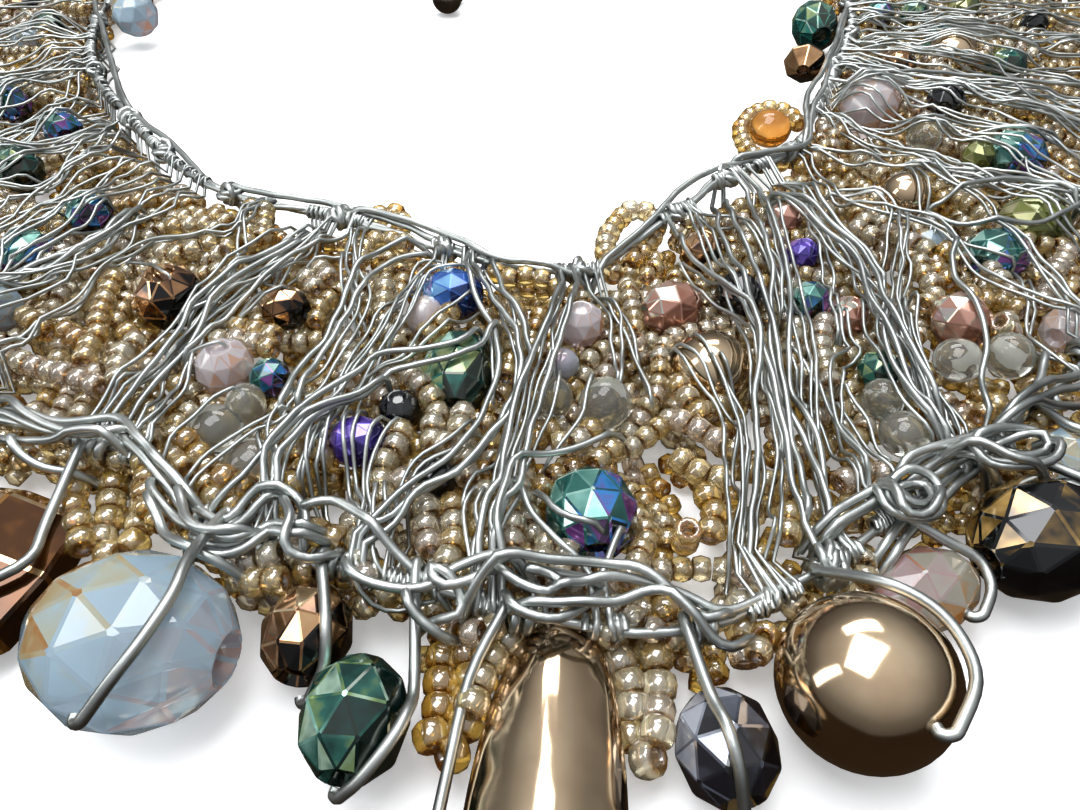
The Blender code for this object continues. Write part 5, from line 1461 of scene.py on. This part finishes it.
def add_seed_beads(laid):
    """Seed beads as joined meshes: finer ones where the photograph looks, and each loop a piece of its own."""
    angle = angle_and_distance(laid["places"])[0]
    string = laid["string"]
    low = (laid["places"][:, 2] < 3.2) & (angle > -78) & (angle < 76)
    front = (angle > -38) & (angle < 34)
    body = (string >= len(SEED_LOOPS)) & ~low
    groups = [
        ("front_seed_beads_left", body & front & (angle < -2), (10, 6), ["seed_bead_bed"]),
        ("front_seed_beads_right", body & front & (angle >= -2), (10, 6), []),
        ("low_front_seed_beads", low & front & (string >= len(SEED_LOOPS)), (7, 5), []),
        ("left_seed_beads", body & (angle <= -38) & (angle > -78), (7, 6), []),
        ("right_seed_beads", body & (angle >= 34) & (angle < 76), (7, 6), []),
        ("low_side_seed_beads", low & ~front & (string >= len(SEED_LOOPS)), (6, 4), []),
        ("left_arm_seed_beads", body & (angle <= -78), (6, 5), []),
        ("right_arm_seed_beads", body & (angle >= 76), (6, 5), []),
    ]
    groups += [(f"{row[0]}_beads", string == i, (12, 8), [row[0]]) for i, row in enumerate(SEED_LOOPS)]
    for name, chosen, faces, nodes in groups:
        mesh = bpy.data.meshes.new(name)
        mesh.from_pydata((laid["places"][chosen] * MM).tolist(), [], [])
        way = mesh.attributes.new("way", "FLOAT_VECTOR", "POINT")
        way.data.foreach_set("vector", laid["ways"][chosen].astype(np.float32).ravel())
        for label in ("tone", "size"):
            share = mesh.attributes.new(label, "FLOAT", "POINT")
            share.data.foreach_set("value", laid[label][chosen].astype(np.float32))
        values = {
            "Width": SEED_WIDTH * MM,
            "Length": SEED_LENGTH * MM,
            "Hole": SEED_HOLE * MM,
            "Around": faces[0],
            "Across": faces[1],
            "Material": MATERIALS["seed"],
        }
        keep(run_tree(TREES["seed"], mesh, name, values), "seed", *nodes)


class Surface:
    """The highest point of all that is laid so far, on a grid in plan."""

    STEP = 0.4

    def __init__(self):
        low = np.array(CAD_BOX[0])[:2] / MM - 6
        high = np.array(CAD_BOX[1])[:2] / MM + 6
        self.low = low
        self.heights = np.zeros(np.ceil((high - low) / self.STEP).astype(int))

    def cells(self, points):
        index = ((points[:, :2] - self.low) / self.STEP).astype(int)
        return np.clip(index, 2, np.array(self.heights.shape) - 3)

    def raise_to(self, points, radius):
        """Round stamps: each point's height falls off to its radius."""
        reach = int(math.ceil(radius / self.STEP))
        index = self.cells(points)
        for x in range(-reach, reach + 1):
            for y in range(-reach, reach + 1):
                away = math.hypot(x, y) * self.STEP
                if away > radius:
                    continue
                rise = math.sqrt(radius**2 - away**2)
                spots = np.clip(index + (x, y), 0, np.array(self.heights.shape) - 1)
                np.maximum.at(self.heights, (spots[:, 0], spots[:, 1]), points[:, 2] + rise)

    def raise_over(self, bead):
        halves = bead.plan_halves()
        reach = int(halves.max() / self.STEP) + 2
        centre = self.cells(bead.middle[None])[0]
        x, y = np.mgrid[-reach : reach + 1, -reach : reach + 1]
        spots = np.stack((x + centre[0], y + centre[1]), -1)
        plan = self.low + (spots + 0.5) * self.STEP - bead.middle[:2]
        along = plan @ bead.along[:2] / halves[0]
        across = plan @ bead.across[:2] / halves[1]
        left = 1 - along**2 - across**2
        rise = bead.middle[2] + halves[2] * np.sqrt(np.clip(left, 0, 1))
        inside = left > 0
        spots = np.clip(spots, 0, np.array(self.heights.shape) - 1)
        np.maximum.at(self.heights, (spots[..., 0][inside], spots[..., 1][inside]), rise[inside])

    def height_at(self, point):
        index = self.cells(point[None])[0]
        return self.heights[index[0], index[1]]

    def under(self, points):
        index = self.cells(points)
        nearby = [self.heights[index[:, 0] + x, index[:, 1] + y] for x in (-1, 0, 1) for y in (-1, 0, 1)]
        return np.max(nearby, axis=0)


def taut(run, heights):
    """The line over the tops of the heights, as a stretched wire takes."""
    top = [0]
    for i in range(1, len(run)):
        while len(top) > 1:
            a, b = top[-2], top[-1]
            if (heights[b] - heights[a]) * (run[i] - run[a]) > (heights[i] - heights[a]) * (run[b] - run[a]):
                break
            top.pop()
        top.append(i)
    return np.interp(run, run[top], heights[top])


def wrap(spot, along, outward, way, turns, radius, pitch, lift=0.0):
    """Turns of wire round an edge wire, starting on top of it and going down on the side it came from."""
    count = max(int(turns * 8), 2)
    points = []
    for k in range(1, count + 1):
        t = 2 * math.pi * k / 8
        points.append(
            spot
            + outward * way * radius * math.sin(t)
            + np.array((0, 0, radius * math.cos(t) + lift))
            + along * pitch * k / 8
        )
    return points


def rail_frame(angle, share):
    spot = on_band(angle, share, RAIL_HEIGHT * float(height_share(angle)))
    a = math.radians(angle)
    return spot, np.array((math.cos(a), math.sin(a), 0.0)), np.array((math.sin(a), -math.cos(a), 0.0))


def run_length(line):
    return np.concatenate(([0], np.cumsum(np.linalg.norm(np.diff(line[:, :2], axis=0), axis=1))))


def lay_over(surface, line, gauge, tautness, lowest=0.0):
    """Lays a wire on what is under it, and adds it to the surface."""
    need = np.maximum(surface.under(line) + gauge / 2, lowest)
    stretched = taut(run_length(line), need)
    line[:, 2] = need + tautness * (stretched - need)
    for _ in range(3):
        line[1:-1, 2] = np.maximum(need[1:-1], (line[:-2, 2] + line[2:, 2]) / 2 * 0.6 + line[1:-1, 2] * 0.4)
    surface.raise_to(line[1:-1], gauge * 0.45)
    return line


def rail_end(rng, line, share, gauge):
    """Carries a wire's end on to an edge wire and winds it round."""
    angle = float(angle_and_distance(line[-1])[0])
    spot, along, outward = rail_frame(angle, share)
    radius = (RAIL_WIRE + gauge) / 2 + 0.1
    turns = rng.choice([0.7, 1.2, 2.2])
    way = 1 if share else -1
    wound = wrap(spot, along, outward, way, turns, radius, rng.choice((-1, 1)) * rng.uniform(0.5, 1.0) * gauge * 1.6)
    return np.array(list(line) + [spot + (0, 0, radius)] + wound)


def laced_wire(rng, surface, line, gauge, tautness):
    """A lacing wire: laid over the beads, with its ends wound on the edge wires or let down into the mat."""
    line = lay_over(surface, line, gauge, tautness, LOWEST_LACING)
    for at_end in (True, False):
        line = line[::-1] if not at_end else line
        angle, distance = angle_and_distance(line[-1])
        across = (distance - neckline(angle)) / band(angle)
        if across < 0.14 or across > 0.86:
            line = rail_end(rng, line, 0 if across < 0.5 else 1, gauge)
        else:
            way = unit(line[-1] - line[-3]) * (1, 1, 0)
            line = np.vstack((line, line[-1] + way * 0.6 - (0, 0, 0.8), line[-1] + way * 0.7 - (0, 0, 2.4)))
        line = line[::-1] if not at_end else line
    return line


def sway(rng, line, size):
    """Small sideways bends, as hand-pulled wire has."""
    run = run_length(line)
    side = unit(np.cross((0, 0, 1), np.gradient(line, axis=0) * (1, 1, 0)))
    shift = np.zeros(len(line))
    for wave, share in ((17.0, 1.0), (8.0, 0.6), (4.5, 0.35)):
        shift += rng.normal(0, size * share) * np.sin(2 * math.pi * run / wave + rng.uniform(0, 2 * math.pi))
    return line + side * shift[:, None]


def add_lacing(surface):
    rng = np.random.default_rng(SEED + 2)
    routes = {"left": [], "right": [], "arm": []}
    waiting = []
    for gauge, count, points in LACED:
        centre = traced(points)
        side = unit(np.cross((0, 0, 1), np.gradient(centre, axis=0) * (1, 1, 0)))
        for k in range(count):
            beside = (k - (count - 1) / 2) * GAUGES[gauge] * rng.uniform(1.2, 2.2)
            spread = beside * (1 + 0.8 * np.sin(np.linspace(0, rng.uniform(2, 5), len(centre)) + k))
            line = even_steps(centre + side * spread[:, None], 1.0)
            waiting.append((gauge, sway(rng, line, 0.12)))
    for a, b, c, d, count in LACING:
        for share in (np.arange(count) + 0.5) / count:
            inner = a + (b - a) * share + rng.normal(0, 0.5)
            outer = c + (d - c) * np.clip(share + rng.normal(0, 0.15), 0, 1) + rng.normal(0, 0.5)
            line = even_steps([on_band(inner, 0.03), on_band(outer, 0.97)], 1.5)
            waiting.append(("fine", sway(rng, line, 0.55)))
    order = rng.permutation(len(waiting))
    for index in sorted(order, key=lambda i: waiting[i][0] == "thick"):
        gauge, line = waiting[index]
        if len(line) < 4:
            continue
        tautness = rng.uniform(0.25, 0.6) if gauge == "fine" else 0.7
        where = float(angle_and_distance(line[len(line) // 2])[0])
        group = "arm" if abs(where) > 62 else "left" if where < 2 else "right"
        routes[group].append((gauge, laced_wire(rng, surface, line, GAUGES[gauge], tautness)))
    for group, laid in routes.items():
        for gauge in GAUGES:
            chosen = [line for g, line in laid if g == gauge]
            sides = 5 if group == "arm" else 6
            keep(wires(f"{group}_{gauge}_lacing", chosen, GAUGES[gauge], sides), "wire")


def rail_strand(share, knots, strand, strands, rng, loose):
    """One strand of an edge wire: it wanders between the knots and closes up on them."""
    limit = 159.0
    angles = np.arange(-limit, limit + 0.1, 1.2 if share else 1.6)
    nearest = np.min(np.abs(angles[:, None] - np.array(knots)[None]), 1)
    open_up = np.clip(nearest / 4, 0.25, 1)
    phase = 2 * math.pi * strand / strands
    twist = phase + angles * (0.42 + 0.05 * strand) + np.cumsum(rng.normal(0, 0.16, len(angles)))
    sideways = loose * open_up * np.cos(twist)
    upwards = loose * 0.55 * open_up * np.sin(twist)
    return on_band(angles, share, RAIL_HEIGHT * height_share(angles) + upwards, sideways)


def knot_coil(rng, angle, share, turns, size):
    """A lump of wire wound on an edge wire, its turns tipped every way."""
    spot, along, outward = rail_frame(angle, share)
    routes = []
    for _ in range(2):
        tip = rng.normal(0, 0.35, 3)
        normal = unit(along * rng.choice((1.0, 0.25)) + np.array((0, 0, 1)) * rng.uniform(-0.3, 0.9) + tip)
        u = unit(np.cross(normal, outward + (0, 0, 0.1)))
        v = np.cross(normal, u)
        points = []
        steps = int(turns * 10)
        for k in range(steps + 1):
            t = 2 * math.pi * k / 10
            reach = size * (0.75 + 0.35 * math.sin(0.7 * t + angle))
            points.append(spot + (u * math.cos(t) + v * math.sin(t)) * reach + normal * (k / steps - 0.5) * size)
        routes.append(np.array(points))
    return routes


def add_rails(surface):
    """The edge wires: plain strands all round, then the loops, runs and knots of the photograph."""
    rng = np.random.default_rng(SEED + 3)
    routes = [rail_strand(0, NECKLINE_KNOTS, i, 2, rng, 0.32) for i in range(2)]
    routes += [rail_strand(1, OUTER_KNOTS, 0, 3, rng, 0.5)]
    for strand in (1, 2):
        whole = rail_strand(1, OUTER_KNOTS, strand, 3, rng, 0.75)
        angle = angle_and_distance(whole)[0]
        routes += [whole[angle < -38], whole[angle > 26]]
    for angle in NECKLINE_KNOTS:
        routes += knot_coil(rng, angle, 0, 2.4, 1.35)
    for angle in OUTER_KNOTS:
        if abs(angle + 2) > 28 or angle in (6.5, 17):
            routes += knot_coil(rng, angle, 1, 3.6, 1.7)
    for table, lowest in ((NECKLINE_RUNS, RAIL_HEIGHT), (OUTER_LOOPS, RAIL_HEIGHT - 0.4)):
        for count, points in table:
            centre = traced(points)
            side = unit(np.cross((0, 0, 1), np.gradient(centre, axis=0) * (1, 1, 0)))
            for k in range(count):
                beside = (k - (count - 1) / 2) * RAIL_WIRE * 1.1
                line = sway(rng, even_steps(centre + side * beside, 0.8), 0.1)
                line = lay_over(surface, line, RAIL_WIRE, 0.75, lowest)
                for depth, at in ((2.4, 0), (1.1, 1), (0.3, 2)):
                    line[[at, -1 - at], 2] -= depth
                routes.append(line)
    for side in (-1, 1):
        routes.append(end_eye(side))
    keep(wires("edge_wires_and_knots", routes, RAIL_WIRE, 7), "wire", "wire_frame")


def end_eye(side):
    """The eye that holds the chain, a loop bent from the ends of the edge wires."""
    t = np.linspace(0, 2 * math.pi, 17)
    spot = (NECK_X + side * EYE_PLACE, NECK_Y + CLASP_BEHIND_NECK, LINK_WIDTH / 2)
    return spot + END_EYE_RADIUS * np.stack((np.cos(t), np.sin(t), np.zeros_like(t)), 1)


def link_route(middle, way, upright, length=LINK_LENGTH, width=LINK_WIDTH, thickness=LINK_WIRE):
    """The middle line of an oval link, on edge or flat."""
    side = unit(np.cross((0, 0, 1), way))
    across = np.cross(way, side) if upright else side
    t = 2 * math.pi * np.arange(24) / 24
    ends, sides = np.cos(t), np.sin(t)
    ends = np.sign(ends) * np.abs(ends) ** 0.85
    return middle + np.outer(ends, way) * (length - thickness) / 2 + np.outer(sides, across) * (width - thickness) / 2


def chain(start, marks, count):
    """Links from the first end wire's middle towards each mark in turn, the last wire's middle and its way."""
    overhang = (LINK_LENGTH - LINK_WIRE - LINK_PITCH) / 2
    spot = start + unit(marks[0] - start) * overhang
    links = []
    for k in range(count):
        while len(marks) > 1 and np.linalg.norm(marks[0] - spot) < LINK_PITCH:
            marks = marks[1:]
        way = unit(marks[0] - spot)
        links.append(link_route(spot + way * LINK_PITCH / 2, way, k % 2 == 0))
        spot = spot + way * LINK_PITCH
    return links, spot + way * overhang, way


def add_closing():
    """The steel chains, the clasp and the tail's drop behind the neck."""
    rightward = np.array((1.0, 0.0, 0.0))
    eyes = [np.array((NECK_X + side * EYE_PLACE, NECK_Y + CLASP_BEHIND_NECK, LINK_WIDTH / 2)) for side in (-1, 1)]
    links, last, _ = chain(eyes[0] + rightward * EYE_HOLD, [eyes[1]], 3)
    keep(wires("clasp_chain_links", links, LINK_WIRE, 10, True, "steel"), "steel", "clasp_chain")
    middle = last + rightward * ((CLASP_LENGTH - CLASP_WIRE) / 2 - CLASP_HOLD)
    ring = link_route(middle, rightward, False, CLASP_LENGTH, CLASP_WIDTH, CLASP_WIRE)
    keep(wires("clasp_ring", [ring], CLASP_WIRE, 14, True, "steel"), "steel", "clasp")

    links, hooked, _ = chain(eyes[1] - rightward * EYE_HOLD, [eyes[0]], 3)
    start = hooked + rightward * (LINK_LENGTH - LINK_WIRE) / 2 + (0, 0.65 * LINK_WIRE, LINK_WIRE)
    lower = LINK_WIDTH / 2
    marks = [start + (0, -LINK_LENGTH, lower - start[2]), start + (0, -2 * LINK_LENGTH, lower - start[2])]
    marks += [np.array((NECK_X + x, NECK_Y + y, lower)) for x, y in TAIL_ROUTE]
    tail, end, way = chain(start, marks, 8)
    keep(wires("extension_chain_links", links + tail, LINK_WIRE, 10, True, "steel"), "steel", "extension_chain")

    middle = end + way * (LINK_WIDTH / 2 - 1.5 * LINK_WIRE - 0.3)
    ring = link_route(middle, way, True, LINK_WIDTH, LINK_WIDTH)
    keep(wires("tail_ring", [ring], LINK_WIRE, 10, True, "steel"), "steel", "tail_drop")
    spot = middle + way * (LINK_WIDTH / 2 + TAIL_BALL / 2 - 0.6 * LINK_WIRE)
    spot[2] = TAIL_BALL / 2
    bead = Lying("tail_ball", "round", 32, 0, "steel", spot, [TAIL_BALL / 2] * 3)
    piece = bpy.data.objects.new("tail_ball", bead_mesh(bead, np.random.default_rng(SEED)))
    bpy.context.scene.collection.objects.link(piece)
    keep(piece, "steel")


def drop_route(bead):
    """The thick wire from the outer wire over a drop, with a hooked end."""
    angle = float(angle_and_distance(bead.middle)[0])
    start, along, outward = rail_frame(angle, 1)
    a = math.radians(angle)
    side = np.array((math.cos(a), math.sin(a), 0.0))
    corners = np.array([v.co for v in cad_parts[bead.name].data.vertices]) / MM - bead.middle
    half_out, half_side = np.abs(corners @ outward).max(), np.abs(corners @ side).max()
    half_up = bead.plan_halves()[2]
    shares = DROP_WIRES.get(bead.name, PLAIN_DROP_WIRE)
    spot = start + side * (shares[0][1] * half_side)
    route = wrap(spot, along, outward, -1, 2.2, RAIL_WIRE * 1.15, 1.1)[::-1]
    route.append(spot + (0, 0, RAIL_WIRE * 1.3))
    for u, v in shares[1:]:
        inside = 1 - (u * u + v * v) / 1.35
        rise = (half_up + DROP_WIRE / 2 + 0.1) * math.sqrt(max(inside, 0.0))
        place = bead.middle + outward * (u * half_out) + side * (v * half_side)
        place[2] = max(bead.middle[2] + rise, DROP_WIRE / 2 + 0.1)
        route.append(place)
    tip, before = route[-1], route[-2]
    way = unit(tip - before)
    curl = np.cross((0, 0, 1), way)
    for t in (0.8, 1.7, 2.5):
        route.append(tip + way * 1.0 * math.sin(t) - curl * 1.0 * (1 - math.cos(t)) * 0.7 + (0, 0, -0.2 * t))
    return smooth_line(np.array(route), 4)


def smooth_line(points, parts):
    """More points on a smooth curve through some."""
    padded = np.concatenate((points[:1] * 2 - points[1:2], points, points[-1:] * 2 - points[-2:-1]))
    rows = []
    for p0, p1, p2, p3 in zip(padded, padded[1:], padded[2:], padded[3:]):
        for k in range(parts):
            t = k / parts
            rows.append(
                0.5 * (2 * p1 + (p2 - p0) * t + (2 * p0 - 5 * p1 + 4 * p2 - p3) * t * t
                       + (3 * p1 - p0 - 3 * p2 + p3) * t**3)
            )
    rows.append(points[-1])
    return np.array(rows)


def add_drop_wires(drops):
    keep(wires("drop_wires", [drop_route(bead) for bead in drops], DROP_WIRE, 9), "wire")


# Plain bright paper, even and matt, with a grain so faint that only the soft shadows show on it.
def add_floor():
    bpy.ops.mesh.primitive_plane_add(size=30.0, location=(0, 0, -0.0002))
    floor = bpy.context.active_object
    floor.name = "pale_floor"
    material, tree, shader, place = new_material("white_paper_on_a_light_table")
    fibres = add(tree, "ShaderNodeTexNoise", {"Vector": place, "Scale": 90.0, "Detail": 4.0}).outputs["Fac"]
    tree.links.new(ramp(tree, fibres, [(0.3, "#f6f6f6"), (0.7, "#fcfcfc")]), shader.inputs["Base Color"])
    shader.inputs["Roughness"].default_value = 0.8
    shader.inputs["Specular IOR Level"].default_value = 0.2
    shader.inputs["Emission Color"].default_value = linear("#ffffff")
    shader.inputs["Emission Strength"].default_value = 0.3
    floor.data.materials.append(material)
    floor.visible_glossy = False


def add_light(name, place, target, size, power, colour):
    data = bpy.data.lights.new(name, "AREA")
    data.shape = "RECTANGLE"
    data.size, data.size_y = size
    data.energy = power
    data.color = linear(colour)[:3]
    lamp = bpy.data.objects.new(name, data)
    lamp.location = place
    lamp.rotation_euler = (Vector(target) - Vector(place)).to_track_quat("-Z", "Y").to_euler()
    bpy.context.scene.collection.objects.link(lamp)


def add_lights():
    front = (0.0, -0.06, 0.0)
    add_light("overhead_softbox", (-0.08, 0.02, 0.6), front, (0.5, 0.35), 3.5, "#fbfcff")
    add_light("back_softbox", (0.06, 0.32, 0.42), front, (0.34, 0.16), 1.3, "#ffffff")
    add_light("left_softbox", (-0.5, -0.05, 0.3), front, (0.14, 0.4), 0.8, "#fbfdff")
    world = bpy.data.worlds.new("studio")
    bpy.context.scene.world = world
    world.use_nodes = True
    tree = world.node_tree
    way = add(tree, "ShaderNodeTexCoord").outputs["Generated"]
    parts = add(tree, "ShaderNodeSeparateXYZ", {"Vector": way}).outputs
    stops = [(0.0, "#342a20"), (0.05, "#5c5c5b"), (0.3, "#7c7e80"), (0.6, "#b4b7ba"), (1.0, "#eceef0")]
    shade = ramp(tree, parts["Z"], stops)
    back = tree.nodes["Background"]
    tree.links.new(shade, back.inputs["Color"])
    back.inputs["Strength"].default_value = 1.0


# Camera, from the photograph: its place from the neck's middle in millimetres, tipped down and turned.
CAMERA_PLACE = (-15.6, -153.1, 64.5)
CAMERA_TIP, CAMERA_TURN = 44.0, -8.0
CAMERA_LENS = 27.2


def add_camera():
    data = bpy.data.cameras.new("camera")
    data.lens = CAMERA_LENS
    data.clip_start, data.clip_end = 0.005, 10
    camera = bpy.data.objects.new("camera", data)
    x, y, z = CAMERA_PLACE
    camera.location = ((NECK_X + x) * MM, (NECK_Y + y) * MM, z * MM)
    camera.rotation_euler = (math.radians(CAMERA_TIP), 0, math.radians(CAMERA_TURN))
    bpy.context.scene.collection.objects.link(camera)
    bpy.context.scene.camera = camera


add_camera()
MATERIALS = make_materials()
TREES = {"seed": seed_bead_tree(), "wire": wire_tree()}
packed = [packed_bead(*row) for row in BEADS]
small = [small_bead(row, i) for i, row in enumerate(SMALL_BEADS)]
extra = hidden_small_beads(np.random.default_rng(SEED + 4))
small += [small_bead(row, len(SMALL_BEADS) + i) for i, row in enumerate(extra)]
for bead in packed:
    if bead.cut == "baroque":
        bead.middle = bead.middle - bead.along * DROP_TUCK
        bead.halves[0] += DROP_TUCK
add_glass(packed, small)
strings = lay_strings(packed + small)
surface = Surface()
surface.raise_to(strings["places"], SEED_WIDTH / 2)
for lying in packed + small:
    surface.raise_over(lying)
fill_gaps(strings, surface)
add_seed_beads(strings)
add_lacing(surface)
add_rails(surface)
add_drop_wires([bead for bead in packed if "_drop" in bead.name or bead.name == "big_rose_gold_ball"])
add_closing()
add_floor()
add_lights()
bpy.context.scene.view_settings.view_transform = "Standard"
